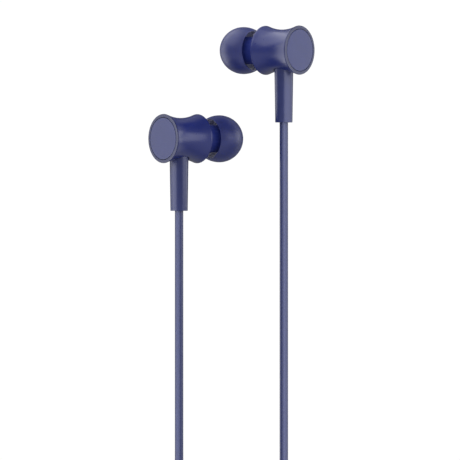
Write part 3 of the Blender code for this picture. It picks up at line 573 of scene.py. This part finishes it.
def add_bud_shell(side):
    """The housing: a waisted spool with rounded rims, a bezel, a shoulder and the nozzle."""
    ridge = NOZZLE_RADIUS + NOZZLE_LIP
    outline = filleted([
        (NOZZLE_BORE + MESH_STEP, NOZZLE_END, 0.05 * MM), (ridge, NOZZLE_END, 0.3 * MM),
        (ridge, NOZZLE_END - 0.75 * MM, 0.1 * MM), (NOZZLE_RADIUS, NOZZLE_END - 0.9 * MM, 0.1 * MM),
        (NOZZLE_RADIUS, SHOULDER_FACE, 0.25 * MM), (SHOULDER_RADIUS - 0.8 * MM, SHOULDER_FACE, 0.2 * MM),
        (SHOULDER_RADIUS - 0.3 * MM, SPOOL_LENGTH + RIM_BULGE, 0.3 * MM),
    ])
    rim_steps, waist_steps, bezel_steps = 12, 28, 8
    for k in range(rim_steps + 1):
        turn = radians(90.0 * (1 - k / rim_steps))
        outline.append((RIM_RADIUS - RIM_ROUND * (1 - cos(turn)),
                        SPOOL_LENGTH + RIM_BULGE * sin(turn)))
    for k in range(1, waist_steps):
        height = SPOOL_LENGTH * (1 - k / waist_steps)
        across = 2 * height / SPOOL_LENGTH - 1
        outline.append((WAIST_RADIUS + (RIM_RADIUS - WAIST_RADIUS) * across ** 2, height))
    bezel_start = len(outline)
    for k in range(bezel_steps + 1):
        turn = radians(90.0 * k / bezel_steps)
        outline.append((RIM_RADIUS - BEZEL_ROUND * (1 - cos(turn)), BACK_FACE * sin(turn)))
    outline += filleted([
        (RIM_RADIUS - 0.5 * MM, BACK_FACE), (RECESS_RADIUS, BACK_FACE, 0.1 * MM), (RECESS_RADIUS, CAP_SEAT),
    ])
    bezel_end = len(outline)
    outline += filleted([
        (CAVITY_RADIUS, CAP_SEAT), (CAVITY_RADIUS, CAVITY_END), (NOZZLE_BORE, CAVITY_END),
        (NOZZLE_BORE, NOZZLE_END - MESH_SEAT), (NOZZLE_BORE + MESH_STEP, NOZZLE_END - MESH_SEAT),
    ])
    shell = lathe(f"housing_{side}", outline, SHELL, side, BUD_STEPS, bud_matrix(side))
    # The bezel ring and the recess wall get the darker copy of the shell's navy, as painted shade
    shell.data.materials.append(BEZEL_PAINTED_SHADE)
    for i in range(bezel_start * BUD_STEPS, bezel_end * BUD_STEPS):
        shell.data.polygons[i].material_index = 1

    hole_radius = STEM_TOP_RADIUS + STEM_SEAM
    hole_bottom = stem_place(side) + Vector((0.0, 0.0, -9.0 * MM))
    hole_height = 6.0 * MM
    hole = lathe("hole", [(0.0, 0.0), (hole_radius, 0.0), (hole_radius, hole_height), (0.0, hole_height)],
                 SHELL, None, 64, Matrix.Translation(hole_bottom), closed=False)
    carve(shell, [hole])
    standing_for(shell, f"bud_shell_{side}")


def add_back_cap(side):
    """The flat plate in the bezel."""
    outline = filleted([(0.0, CAP_INNER), (CAP_RADIUS, CAP_INNER), (CAP_RADIUS, BACK_FACE, 0.14 * MM),
                        (CAP_RADIUS * 0.5, BACK_FACE), (0.0, BACK_FACE)])
    cap = lathe(f"end_plate_{side}", outline, CAP, side, BUD_STEPS, bud_matrix(side), closed=False)
    standing_for(cap, f"back_cap_{side}")


def add_eartip(side):
    """The soft tip: a dome and thin open skirt with a rolled edge, and a sleeve over the nozzle."""
    centre = TIP_END - TIP_MOUTH_REACH
    mouth_angle = asin(TIP_MOUTH_REACH / TIP_FRONT)
    skirt_angle = -asin(TIP_SKIRT_REACH / TIP_BACK)

    def dome(angle, inset):
        reach = TIP_FRONT if angle > 0 else TIP_BACK
        return ((TIP_RADIUS - inset) * cos(angle), centre + (reach - inset) * sin(angle))

    # The outside, from the mouth to the skirt's edge, and round that edge
    dome_steps, roll_steps, inner_steps, thick_at = 30, 8, 22, 14
    outline = [dome(mouth_angle + (skirt_angle - mouth_angle) * k / dome_steps, 0.0)
               for k in range(dome_steps + 1)]
    edge = Vector(outline[-1])
    for k in range(1, roll_steps):
        turn = pi * k / roll_steps
        outline.append((edge.x - 0.5 * TIP_LIP * (1 - cos(turn)),
                        edge.y - 0.35 * TIP_LIP * sin(turn)))

    # The skirt's inside, up to the pocket's round end
    inside_start = len(outline)
    for k in range(inner_steps + 1):
        angle = skirt_angle + (TIP_POCKET_ANGLE - skirt_angle) * k / inner_steps
        outline.append(dome(angle, TIP_LIP + (TIP_WALL - TIP_LIP) * min(1.0, k / thick_at)))
    last = Vector(outline[-1])
    foot = Vector((TIP_SLEEVE, last.y))
    for k in range(1, roll_steps):
        turn = pi * k / roll_steps
        outline.append((0.5 * (last.x + foot.x) + 0.5 * (last.x - foot.x) * cos(turn),
                        last.y + 0.35 * MM * sin(turn)))

    # The sleeve's outside, its thicker foot, the bore and the mouth
    sleeve_start = len(outline)
    thicker = TIP_SLEEVE + 0.18 * MM
    outline += filleted([
        tuple(foot), (TIP_SLEEVE, TIP_FOOT + 1.0 * MM), (thicker, TIP_FOOT + 0.6 * MM, 0.3 * MM),
        (thicker, TIP_FOOT, 0.2 * MM), (TIP_BORE, TIP_FOOT, 0.15 * MM),
        (TIP_BORE + 0.05 * MM, NOZZLE_END + 0.05 * MM), (TIP_MOUTH, NOZZLE_END + 0.7 * MM, 0.3 * MM),
        (TIP_MOUTH, TIP_END, 0.45 * MM),
    ])
    outline[0] = (outline[0][0] + 0.1 * MM, outline[0][1] - 0.06 * MM)  # softens the dome's front edge
    tip = lathe(f"soft_tip_{side}", outline, TIP, side, BUD_STEPS, bud_matrix(side), sharp=40.0)
    # The skirt's inside is painted pale grey, as painted light in its pocket
    for material in (TIP_INSIDE_PAINTED_LIGHT, SLEEVE_WITH_PAINTED_LIGHT):
        tip.data.materials.append(material)
    # The sleeve's first outer rows get the lighter copy of the silicone, painted light in the pocket's shade
    for i in range(inside_start * BUD_STEPS, (sleeve_start + TIP_SLEEVE_ROWS) * BUD_STEPS):
        tip.data.polygons[i].material_index = 1 if i < sleeve_start * BUD_STEPS else 2
    standing_for(tip, f"eartip_{side}", f"ear_tip_{side[0]}")


def add_stem(side):
    """The tapered stem under the housing, with the cord's socket in its lower end."""
    socket = CORD_RADIUS + SOCKET_SPACE
    bottom = -STEM_BOTTOM - 0.18 * MM
    outline = filleted([
        (STEM_TOP_RADIUS, -STEM_TOP, 0.1 * MM), (STEM_BOTTOM_RADIUS, bottom, 0.14 * MM),
        (socket, bottom, 0.08 * MM), (socket, bottom + SOCKET_DEPTH), (STEM_BORE, bottom + SOCKET_DEPTH),
        (STEM_BORE, -STEM_TOP),
    ])
    stem = lathe(f"strain_stem_{side}", outline, STEM, side, 72, Matrix.Translation(stem_place(side)))
    standing_for(stem, f"stem_{side}")


def add_wax_guard(side):
    """The woven steel guard in the nozzle's mouth, in a pressed rim."""
    floor = NOZZLE_END - MESH_SEAT + 0.3 * MM
    middle = floor + 0.12 * MM
    reach = NOZZLE_BORE - 0.02 * MM
    wire, pitch, wire_sides = 0.035 * MM, 0.22 * MM, 5
    verts, faces = [], []
    for way in (0, 1):
        for i in range(-7, 8):
            offset = i * pitch
            half = sqrt(max(reach ** 2 - offset ** 2, 0.0))
            count = max(6, round(2 * half / pitch * 5))
            first = len(verts)
            for j in range(count + 1):
                t = -half + 2 * half * j / count
                lift = wire * cos(pi * (t / pitch + i + way))
                for k in range(wire_sides):
                    turn = tau * k / wire_sides
                    across = offset + wire * cos(turn)
                    height = middle + lift + wire * sin(turn)
                    verts.append((across, t, height) if way else (t, across, height))
            for j in range(count):
                faces += bridge(first + j * wire_sides, first + (j + 1) * wire_sides, wire_sides)
            faces.append(tuple(first + k for k in range(wire_sides)))
            faces.append(tuple(first + count * wire_sides + k for k in range(wire_sides)))

    inner, outer, top = NOZZLE_BORE - 0.22 * MM, NOZZLE_BORE + 0.24 * MM, floor + 0.24 * MM
    rounding = 0.04 * MM
    rim = filleted([(inner, floor, rounding), (inner, top, rounding), (outer, top, rounding),
                    (outer, floor, rounding)], 3)
    steps = 64
    start = len(verts)
    for i, (radius, height) in enumerate(rim):
        verts += circle(radius, height, steps)
        faces += bridge(start + i * steps, start + (i + 1) % len(rim) * steps, steps)
    guard = mesh_object(f"wax_guard_{side}", verts, faces, STEEL, side, 40.0, bud_matrix(side))
    standing_for(guard, f"nozzle_mesh_{side}")


# ---------------- boots and neckband

POD_LENGTH = 58.0 * MM
POD_WIDTH = 13.0 * MM
POD_DEPTH = 9.2 * MM
POD_ROUND = 2.6 * MM
POD_WALL = 1.2 * MM
POD_TOP = 0.5 * POD_LENGTH
POD_SPLIT = 0.5 * POD_DEPTH - 2.0 * MM
POD_PLACES = {  # centre, and the sine of the lean
    "control": (Vector((0.044902, DEPTH_PLANE, -0.246895)), 0.368626),
    "battery": (Vector((-0.042532, DEPTH_PLANE, -0.269705)), -0.368626),
}
POD_SIDES = {"control": "right", "battery": "left"}
BOOT_GAP = 0.06 * MM  # between a pod's end and the boot's collar
BOOT_NECK = 1.7 * MM  # radius where the boot passes through the pod's end
BOOT_FLANGE = 2.4 * MM
BOOT_INSIDE = POD_TOP - POD_WALL - 0.3 * MM
BAND_RADIUS = 1.8 * MM
BAND_EDGE = 0.25 * MM  # bevel at each end of the sleeve
BAND_SIDES = 36
WIRE_HOLE = 0.9 * MM
# Bend reliefs: end of the pod, reach, radius and rounding of the collar, radius and depth of the pocket,
# radius of the hole inside, width of the tip and of its mouth round the pocket, and the mouth's rounding
BOOTS = {
    "cord": (1, 7.7 * MM, 2.35 * MM, 0.2 * MM, CORD_RADIUS + SOCKET_SPACE, SOCKET_DEPTH, STEM_BORE,
             0.42 * MM, 0.38 * MM, 0.12 * MM),
    "band": (-1, 8.7 * MM, 3.0 * MM, 0.25 * MM, BAND_RADIUS + 0.06 * MM, 7.0 * MM, 0.8 * MM,
             0.5 * MM, 0.45 * MM, 0.15 * MM),
}
BAND_KNOTS = [  # (x, z) from the right pod round the neck to the left pod
    (0.05633, -0.275712), (0.05891, -0.282219), (0.064185, -0.334522), (0.001185, -0.397522),
    (-0.061815, -0.334522), (-0.056539, -0.305029), (-0.053959, -0.298522),
]
QUARTER_CIRCLE = 0.5523  # handles of a Bezier quarter circle, as a share of its radius


def pod_matrix(kind):
    """A pod's own frame: Z up along it, X across it, and its front faces -Y."""
    centre, lean = POD_PLACES[kind]
    upright = sqrt(1.0 - lean ** 2)
    return Matrix(((upright, 0.0, -lean, centre.x), (0.0, 1.0, 0.0, centre.y),
                   (lean, 0.0, upright, centre.z), (0.0, 0.0, 0.0, 1.0)))


def ribbed(root_radius, tip_radius, root, tip, ribs=4):
    """The side of a bend relief: a taper from root to tip with round grooves across it."""
    points = []
    steps = 8 * ribs
    for k in range(steps + 1):
        t = k / steps
        groove = 0.0
        if 0.0 < t < 0.97:
            groove = 0.26 * MM * max(0.0, sin(pi * (2 * ribs * t - 0.5))) ** 0.6
        points.append((root_radius + (tip_radius - root_radius) * t ** 0.9 - groove, root + (tip - root) * t))
    return points


def add_boot(kind, what):
    """The bend relief over the cord's or the neckband's end, held in an end of a pod."""
    side = POD_SIDES[kind]
    way, reach, collar, collar_round, pocket, depth, hole, tip, mouth, mouth_round = BOOTS[what]
    foot, end = POD_TOP + BOOT_GAP, POD_TOP + reach
    outline = filleted([(BOOT_NECK, BOOT_INSIDE), (BOOT_NECK, foot), (collar, foot, collar_round)])
    outline += ribbed(collar, pocket + tip, POD_TOP + 1.3 * MM, end - 0.3 * MM)
    outline += filleted([(pocket + tip, end - 0.2 * MM), (pocket + mouth, end, mouth_round),
                         (pocket, end, 0.06 * MM)])
    outline += [(pocket, end - depth), (hole, end - depth), (hole, BOOT_INSIDE - 1.0 * MM),
                (BOOT_FLANGE, BOOT_INSIDE - 1.0 * MM), (BOOT_FLANGE, BOOT_INSIDE)]
    boot = lathe(f"{what}_relief_{side}", [(radius, way * height) for radius, height in outline], BAND_RUBBER,
                 side, 64, pod_matrix(kind), sharp=38.0)
    standing_for(boot, f"{what}_boot_{side}")


def bezier(a, b, c, d, steps):
    """Points on a cubic Bezier curve, without its last one."""
    return [(1 - t) ** 3 * a + 3 * t * (1 - t) ** 2 * b + 3 * t ** 2 * (1 - t) * c + t ** 3 * d
            for t in [k / steps for k in range(steps)]]


def band_line():
    """Points along the neckband's sleeve, from the right pod round the neck to the left pod."""
    start, leave, right, bottom, left, enter, finish = [Vector((x, DEPTH_PLANE, z)) for x, z in BAND_KNOTS]
    down = Vector((0.0, 0.0, -1.0))
    out = (leave - start).normalized()
    back = (finish - enter).normalized()
    quarter = QUARTER_CIRCLE * (right.x - bottom.x)
    across = Vector((quarter, 0, 0))
    right_flank = 0.4 * (right - leave).length
    left_flank = 0.4 * (left - enter).length
    points = [start.lerp(leave, k / 4) for k in range(4)]
    points += bezier(leave, leave + out * right_flank, right - down * right_flank, right, 28)
    points += bezier(right, right + down * quarter, bottom + across, bottom, 44)
    points += bezier(bottom, bottom - across, left + down * quarter, left, 44)
    points += bezier(left, left - down * left_flank, enter - back * left_flank, enter, 18)
    points += [enter.lerp(finish, k / 4) for k in range(5)]
    return points


def add_neckband():
    """The soft sleeve of the neckband, hollow for its wire, with bevelled ends."""
    points = band_line()
    end = BAND_RADIUS - BAND_EDGE
    outer = tube_rings(points, [end, *[BAND_RADIUS] * (len(points) - 2), end], BAND_SIDES)
    inner = tube_rings(points, [WIRE_HOLE] * len(points), BAND_SIDES)
    rings = outer + inner[::-1]
    verts = [v for ring in rings for v in ring]
    faces = []
    for i in range(len(rings)):
        faces += bridge(i * BAND_SIDES, (i + 1) % len(rings) * BAND_SIDES, BAND_SIDES)
    band = mesh_object("neckband_sleeve", verts, faces, BAND_RUBBER, None, 50.0)
    standing_for(band, "band_sleeve")


# ---------------- pods

# Heights are from the pod's middle, and depths from its middle towards its back
FRONT = -0.5 * POD_DEPTH
POD_SEAM = 0.26 * MM
BUTTON_WIDTH = 5.4 * MM
BUTTONS = {  # length and height
    "plus": (7.6 * MM, 13.0 * MM),
    "play": (6.0 * MM, 3.5 * MM),
    "minus": (7.6 * MM, -6.0 * MM),
}
OPENING_GAP = 0.22 * MM  # round a button and round the port's cover
LIGHT_HEIGHT = 20.5 * MM
LIGHT_RADIUS = 0.8 * MM
MICROPHONE_HEIGHT = -11.0 * MM
MICROPHONE_RADIUS = 0.45 * MM
USB_HEIGHT = -17.0 * MM
USB_MIDDLE = 0.02 * MM  # depth of its axis
USB_HALF_LENGTH = 4.77 * MM
USB_HALF_WIDTH = 1.93 * MM
COVER_LENGTH = 12.4 * MM
COVER_WIDTH = 5.0 * MM
FAR = 0.05  # well beyond a pod


def rounded_box(name, low, high, rounding, segments, side, matrix, edges="all"):
    """A box between two corners with round edges, all of them or those along one axis."""
    low, high = Vector(low), Vector(high)
    form = bmesh.new()
    bmesh.ops.create_cube(form, size=1.0)
    bmesh.ops.scale(form, vec=high - low, verts=form.verts)
    chosen = form.edges[:]
    if edges != "all":
        axis = "xyz".index(edges)
        half = 0.5 * (high - low)[axis]
        chosen = [e for e in chosen if abs((e.verts[0].co - e.verts[1].co)[axis]) > half]
    bmesh.ops.bevel(form, geom=chosen, offset=rounding, segments=segments, profile=0.5, affect="EDGES",
                    clamp_overlap=True)
    bmesh.ops.translate(form, vec=0.5 * (low + high), verts=form.verts)
    return finished(name, form, [POD], side, matrix)


def box_cutter(low, high, rounding, matrix, edges="all", segments=8):
    """A box to cut with."""
    return rounded_box("cut", low, high, rounding, segments, None, matrix, edges)


def round_cutter(radius, low, high, matrix, axis):
    """A cylinder to cut with, along the local Y or Z axis."""
    turn = Matrix.Rotation(-pi / 2, 4, "X") if axis == "y" else Matrix.Identity(4)
    outline = [(0.0, low), (radius, low), (radius, high), (0.0, high)]
    return lathe("cut", outline, POD, None, 48, matrix @ turn, closed=False)


def add_pod_casing(kind):
    """A pod's front shell and back cover, hollow, with a fine seam between them and soft edges."""
    matrix = pod_matrix(kind)
    half = Vector((0.5 * POD_WIDTH, 0.5 * POD_DEPTH, POD_TOP))
    hollow = half - Vector((POD_WALL, POD_WALL, POD_WALL))
    shell_end = POD_SPLIT - 0.5 * POD_SEAM
    back_start = POD_SPLIT + 0.5 * POD_SEAM
    for name, low, high in (("shell", shell_end, shell_end + FAR), ("back", back_start - FAR, back_start)):
        case = rounded_box(f"{kind}_case_{name}", -half, half, POD_ROUND, 10, POD_SIDES[kind], matrix)
        cutters = [box_cutter(-hollow, hollow, POD_ROUND - POD_WALL, matrix, segments=4),
                   box_cutter((-FAR, low, -FAR), (FAR, high, FAR), MM, matrix, segments=1)]
        if name == "shell":
            for end in (-POD_TOP, POD_TOP):
                cutters.append(round_cutter(BOOT_NECK + 0.2 * MM, end - 2 * MM, end + 2 * MM, matrix, "z"))
            if kind == "control":
                cutters += front_openings(matrix)
        carve(case, cutters)
        standing_for(case, f"{kind}_pod_{name}")


def front_openings(matrix):
    """Cutters for the buttons, the light, the microphone and the charging port."""
    cutters = []
    across = 0.5 * BUTTON_WIDTH + OPENING_GAP
    for length, height in BUTTONS.values():
        reach = 0.5 * length + OPENING_GAP
        cutters.append(box_cutter((-across, FRONT - 2 * MM, height - reach),
                                  (across, FRONT + 2 * MM, height + reach), 1.3 * MM, matrix, "y"))
    for radius, height in ((LIGHT_RADIUS + 0.1 * MM, LIGHT_HEIGHT), (MICROPHONE_RADIUS, MICROPHONE_HEIGHT)):
        place = matrix @ Matrix.Translation((0.0, 0.0, height))
        cutters.append(round_cutter(radius, FRONT - 2 * MM, FRONT + 2 * MM, place, "y"))

    outer = 0.5 * POD_WIDTH
    port = (-3.0 * MM, 3.0 * MM, USB_HALF_WIDTH, USB_HALF_LENGTH, 1.4 * MM)
    cover = (-0.7 * MM, 3.3 * MM, 0.5 * COVER_WIDTH + OPENING_GAP, 0.5 * COVER_LENGTH + OPENING_GAP, 1.1 * MM)
    for start, end, across, reach, rounding in (port, cover):
        low = (outer + start, USB_MIDDLE - across, USB_HEIGHT - reach)
        high = (outer + end, USB_MIDDLE + across, USB_HEIGHT + reach)
        cutters.append(box_cutter(low, high, rounding, matrix, "x"))
    return cutters


# ---------------- keys, cover and light

def rounded_outline(half_width, half_length, rounding, steps=6):
    """Corners of a rounded rectangle about the origin, counter-clockwise, as (x, z) pairs."""
    points = []
    for quarter, (across, up) in enumerate(((1, 1), (-1, 1), (-1, -1), (1, -1))):
        for k in range(steps + 1):
            turn = radians(90.0 * (quarter + k / steps))
            points.append((across * (half_width - rounding) + rounding * cos(turn),
                           up * (half_length - rounding) + rounding * sin(turn)))
    return points


def loft(form, rings):
    """Faces between rings of equally many points, and over the first and last."""
    rows = [[form.verts.new(point) for point in ring] for ring in rings]
    count = len(rows[0])
    faces = []
    for a, b in zip(rows, rows[1:]):
        for k in range(count):
            n = (k + 1) % count
            faces.append(form.faces.new((a[k], a[n], b[n], b[k])))
    return faces + [form.faces.new(rows[0]), form.faces.new(rows[-1])]


def sign_outline(name):
    """The outline of a key's raised sign, as (x, z) pairs with rounded corners."""
    arm, bar = 0.95 * MM, 0.17 * MM
    if name == "minus":
        corners = [(arm, -bar), (arm, bar), (-arm, bar), (-arm, -bar)]
    elif name == "plus":
        corners = [(arm, -bar), (arm, bar), (bar, bar), (bar, arm), (-bar, arm), (-bar, bar),
                   (-arm, bar), (-arm, -bar), (-bar, -bar), (-bar, -arm), (bar, -arm), (bar, -bar)]
    else:
        corners = [(0.75 * MM, 0.0), (-0.5 * MM, 0.78 * MM), (-0.5 * MM, -0.78 * MM)]
    return filleted([(x, z, 0.1 * MM) for x, z in corners], 4)


def add_keys():
    """Three soft keys with dished faces and rounded edges, and a raised sign on each."""
    face = FRONT - 0.5 * MM
    back = -3.0 * MM
    post, post_end = 1.2 * MM, -0.45 * MM
    flange = 0.6 * MM
    corner = 1.1 * MM
    # Inset from the key's outline, and depth there
    dish = ((0.0, back), (0.0, face + 0.42 * MM), (0.06 * MM, face + 0.2 * MM),
            (0.2 * MM, face + 0.06 * MM), (0.42 * MM, face), (0.9 * MM, face + 0.05 * MM),
            (1.5 * MM, face + 0.09 * MM), (2.2 * MM, face + 0.1 * MM))
    for name, (length, height) in BUTTONS.items():
        half_width, half_length = 0.5 * BUTTON_WIDTH, 0.5 * length
        rings = []
        angles = [atan2(z, x) for x, z in rounded_outline(half_width, half_length, corner)]
        for depth in (post_end, back + 0.5 * MM):
            rings.append([(post * cos(a), depth, height + post * sin(a)) for a in angles])
        for depth in (back + 0.5 * MM, back - 0.1 * MM):
            outline = rounded_outline(half_width + flange, half_length + flange, 1.5 * MM)
            rings.append([(x, depth, height + z) for x, z in outline])
        for inset, depth in dish:
            outline = rounded_outline(half_width - inset, half_length - inset, max(corner - inset, 0.25 * MM))
            rings.append([(x, depth, height + z) for x, z in outline])
        form = bmesh.new()
        loft(form, rings)

        sign = sign_outline(name)
        levels = ((1.0, face + 0.3 * MM), (1.0, face - 0.01 * MM), (0.94, face - 0.06 * MM))
        for marked in loft(form, [[(x * share, depth, height + z * share) for x, z in sign]
                                  for share, depth in levels]):
            marked.material_index = 1
        bmesh.ops.recalc_face_normals(form, faces=form.faces)
        key = finished(f"key_{name}", form, [BUTTON, MARK], "right", pod_matrix("control"), 38.0)
        standing_for(key, f"button_{name}", f"{name}_button")


def add_cover():
    """The charging port's soft cover: a rounded plate with a dished face and a plug behind it."""
    back, front = 6.1 * MM, 6.9 * MM

    def ring(x, half_width, half_length, rounding):
        outline = rounded_outline(half_width, half_length, rounding)
        return [(x, USB_MIDDLE + across, USB_HEIGHT + up) for across, up in outline]

    form = bmesh.new()
    plate = ((back, 0.06, 1.0), (back + 0.08 * MM, 0.0, 1.1), (front - 0.25 * MM, 0.0, 1.1),
             (front - 0.08 * MM, 0.07, 1.05), (front, 0.28, 0.9), (front, 0.75, 0.6),
             (front - 0.1 * MM, 0.95, 0.5), (front - 0.1 * MM, 1.6, 0.3))
    loft(form, [ring(x, 0.5 * COVER_WIDTH - inset * MM, 0.5 * COVER_LENGTH - inset * MM, rounding * MM)
                for x, inset, rounding in plate])
    plug = ((back - 1.5 * MM, 0.2 * MM), (back - 1.3 * MM, 0.0), (back + 0.1 * MM, 0.0))
    loft(form, [ring(x, 1.01 * MM - inset, 3.76 * MM - inset, 0.95 * MM - inset) for x, inset in plug])
    bmesh.ops.recalc_face_normals(form, faces=form.faces)
    cover = finished("port_flap", form, [BUTTON], "right", pod_matrix("control"), 38.0)
    standing_for(cover, "usb_cover", "port_cover")


def add_light():
    """The frosted light pipe in the pod's face, with a domed end."""
    foot, foot_radius = -2.4 * MM, 1.4 * MM
    outline = filleted([
        (0.0, foot), (foot_radius, foot), (foot_radius, foot - 0.7 * MM), (LIGHT_RADIUS, foot - 0.7 * MM),
        (LIGHT_RADIUS, FRONT + 0.1 * MM), (LIGHT_RADIUS - 0.1 * MM, FRONT, 0.05 * MM),
        (0.5 * LIGHT_RADIUS, FRONT - 0.045 * MM), (0.0, FRONT - 0.05 * MM),
    ], 3)
    place = (pod_matrix("control") @ Matrix.Translation((0.0, 0.0, LIGHT_HEIGHT))
             @ Matrix.Rotation(-pi / 2, 4, "X"))
    light = lathe("status_light", outline, LENS, POD_SIDES["control"], 48, place, closed=False)
    standing_for(light, "light_pipe")


# ---------------- studio

WHITE = 1.03  # strength of the white behind everything
FILL = 1.25  # strength of the even light on the object
# Grey levels of the surroundings: (height or depth of the direction, level)
FILL_BY_HEIGHT = ((-1.0, 0.32), (-0.1, 0.7), (1.0, 1.0))
ROOM_BY_HEIGHT = ((-1.0, 0.7), (-0.3, 0.6), (-0.08, 0.25), (0.08, 0.17), (0.3, 0.36), (0.55, 0.2),
                  (0.75, 0.07), (1.0, 0.05))
ROOM_BY_DEPTH = ((-1.0, 2.0), (-0.3, 1.25), (0.12, 0.6), (0.5, 0.8), (1.0, 0.5))
# Azimuth (0 in front, 90 to the right), elevation, width, height, brightness, and what it lights
LAMPS = {
    "key_left_front": (-62.0, 0.0, 54.0, 110.0, 2.2, "left"),
    "key_left_back": (-104.0, 0.0, 52.0, 110.0, 1.22, "left"),
    "band_left": (84.0, 7.0, 76.0, 34.0, 1.75, "left"),
    "panel_left": (122.0, 14.0, 30.0, 90.0, 0.35, "left"),
    "cord_left": (-12.0, 0.0, 60.0, 110.0, 2.0, "cord_left"),
    "key_right_front": (44.0, 0.0, 76.0, 110.0, 2.2, "right"),
    "key_right_back": (106.0, 0.0, 52.0, 110.0, 1.3, "right"),
    "upper_right": (-100.0, 48.0, 84.0, 44.0, 1.6, "right"),
    "overhead_right": (-120.0, 82.0, 40.0, 30.0, 1.0, "right"),
    "panel_right": (-116.0, -6.0, 46.0, 56.0, 1.5, "right"),
    "cord_right": (-8.0, 0.0, 60.0, 110.0, 1.8, "cord_right"),
    "above_behind": (180.0, 52.0, 70.0, 36.0, 0.28, None),
}
LAMP_DISTANCE = 0.6
FLOOR_RADIUS = 6.0
FLOOR_DROP = 0.006  # the floor lies this far below the neckband


def softbox(name, azimuth, elevation, width, height, brightness, lights):
    """A lamp that shows only as a reflection, seen from between the buds over these angles, in degrees."""
    data = bpy.data.lights.new(name, "AREA")
    data.shape = "RECTANGLE"
    data.size = 2 * LAMP_DISTANCE * tan(radians(width / 2))
    data.size_y = 2 * LAMP_DISTANCE * tan(radians(height / 2))
    data.energy = 4.0 * data.size * data.size_y * brightness
    lamp = bpy.data.objects.new(name, data)
    a, e = radians(azimuth), radians(elevation)
    towards = Vector((sin(a) * cos(e), -cos(a) * cos(e), sin(e)))
    lamp.location = Vector((0.0, DEPTH_PLANE, -0.02)) + LAMP_DISTANCE * towards
    lamp.rotation_euler = towards.to_track_quat("Z", "Y").to_euler()
    lamp.visible_camera = False
    lamp.visible_diffuse = False
    if lights:
        lamp.light_linking.receiver_collection = LIT[lights]
    bpy.context.scene.collection.objects.link(lamp)


def add_world():
    """White behind the object, a soft even fill on it, and a darker room in its reflections."""
    world = bpy.data.worlds.new("studio")
    bpy.context.scene.world = world
    world.use_nodes = True
    tree = world.node_tree
    tree.nodes.clear()
    new = tree.nodes.new
    join = tree.links.new
    split = new("ShaderNodeSeparateXYZ")
    join(new("ShaderNodeTexCoord").outputs["Generated"], split.inputs[0])

    def ramp(axis, stops):
        """Grey levels by one coordinate of the direction, which runs from -1 to 1."""
        place = new("ShaderNodeMapRange")
        place.inputs["From Min"].default_value = -1.0
        join(split.outputs[axis], place.inputs["Value"])
        node = new("ShaderNodeValToRGB")
        join(place.outputs["Result"], node.inputs["Fac"])
        while len(node.color_ramp.elements) < len(stops):
            node.color_ramp.elements.new(0.5)
        for element, (position, grey) in zip(node.color_ramp.elements, stops):
            element.position = 0.5 + 0.5 * position
            element.color = (grey, grey, grey, 1.0)
        return node.outputs["Color"]

    def background(colour, strength=1.0):
        """An even background, or one that follows a ramp."""
        shade = new("ShaderNodeBackground")
        shade.inputs["Strength"].default_value = strength
        if colour is None:
            shade.inputs["Color"].default_value = (1.0, 1.0, 1.0, 1.0)
        else:
            join(colour, shade.inputs["Color"])
        return shade.outputs[0]

    def choose(ray, otherwise, then):
        """One shader for this kind of ray, and another for the rest."""
        mix = new("ShaderNodeMixShader")
        join(path.outputs[ray], mix.inputs["Fac"])
        join(otherwise, mix.inputs[1])
        join(then, mix.inputs[2])
        return mix.outputs[0]

    path = new("ShaderNodeLightPath")
    room = new("ShaderNodeMix")
    room.data_type = "RGBA"
    room.blend_type = "MULTIPLY"
    room.inputs["Factor"].default_value = 1.0
    join(ramp("Z", ROOM_BY_HEIGHT), room.inputs["A"])
    join(ramp("Y", ROOM_BY_DEPTH), room.inputs["B"])
    fill = background(ramp("Z", FILL_BY_HEIGHT), FILL)
    lit = choose("Is Glossy Ray", fill, background(room.outputs["Result"]))
    seen = choose("Is Camera Ray", lit, background(None, WHITE))
    join(seen, new("ShaderNodeOutputWorld").inputs["Surface"])


def add_floor():
    """A plain pale floor under the neckband."""
    mat = Material("floor_paint", (0.90, 0.90, 0.90), 0.9, Specular_IOR_Level=0.0)
    mat.shaded(mat.noise(60 * MM), 0.995, 1.005)
    steps = 96
    verts = circle(FLOOR_RADIUS, cad_box[0].z - FLOOR_DROP, steps)
    floor = mesh_object("floor", verts, [tuple(range(steps))], mat.data)
    floor.visible_diffuse = False
    floor.visible_glossy = False


# ---------------- the scene

def build():
    """Everything, camera and cords first."""
    bpy.context.scene.view_settings.view_transform = "Standard"
    add_camera()
    for side in SIDES:
        add_cord(side, JACKET)
    for name, node in frame["nodes"].items():
        for side in SIDES:
            LIT[side].objects.link(node)
        node.data.materials.clear()
        node.data.materials.append(FINISHES[SLOTS[name]])
    for side in SIDES:
        add_bud_shell(side)
        add_back_cap(side)
        add_eartip(side)
        add_stem(side)
        add_wax_guard(side)
    add_neckband()
    for kind in POD_PLACES:
        for what in BOOTS:
            add_boot(kind, what)
        add_pod_casing(kind)
    add_keys()
    add_cover()
    add_light()
    add_world()
    for name, values in LAMPS.items():
        softbox(name, *values)
    add_floor()


build()
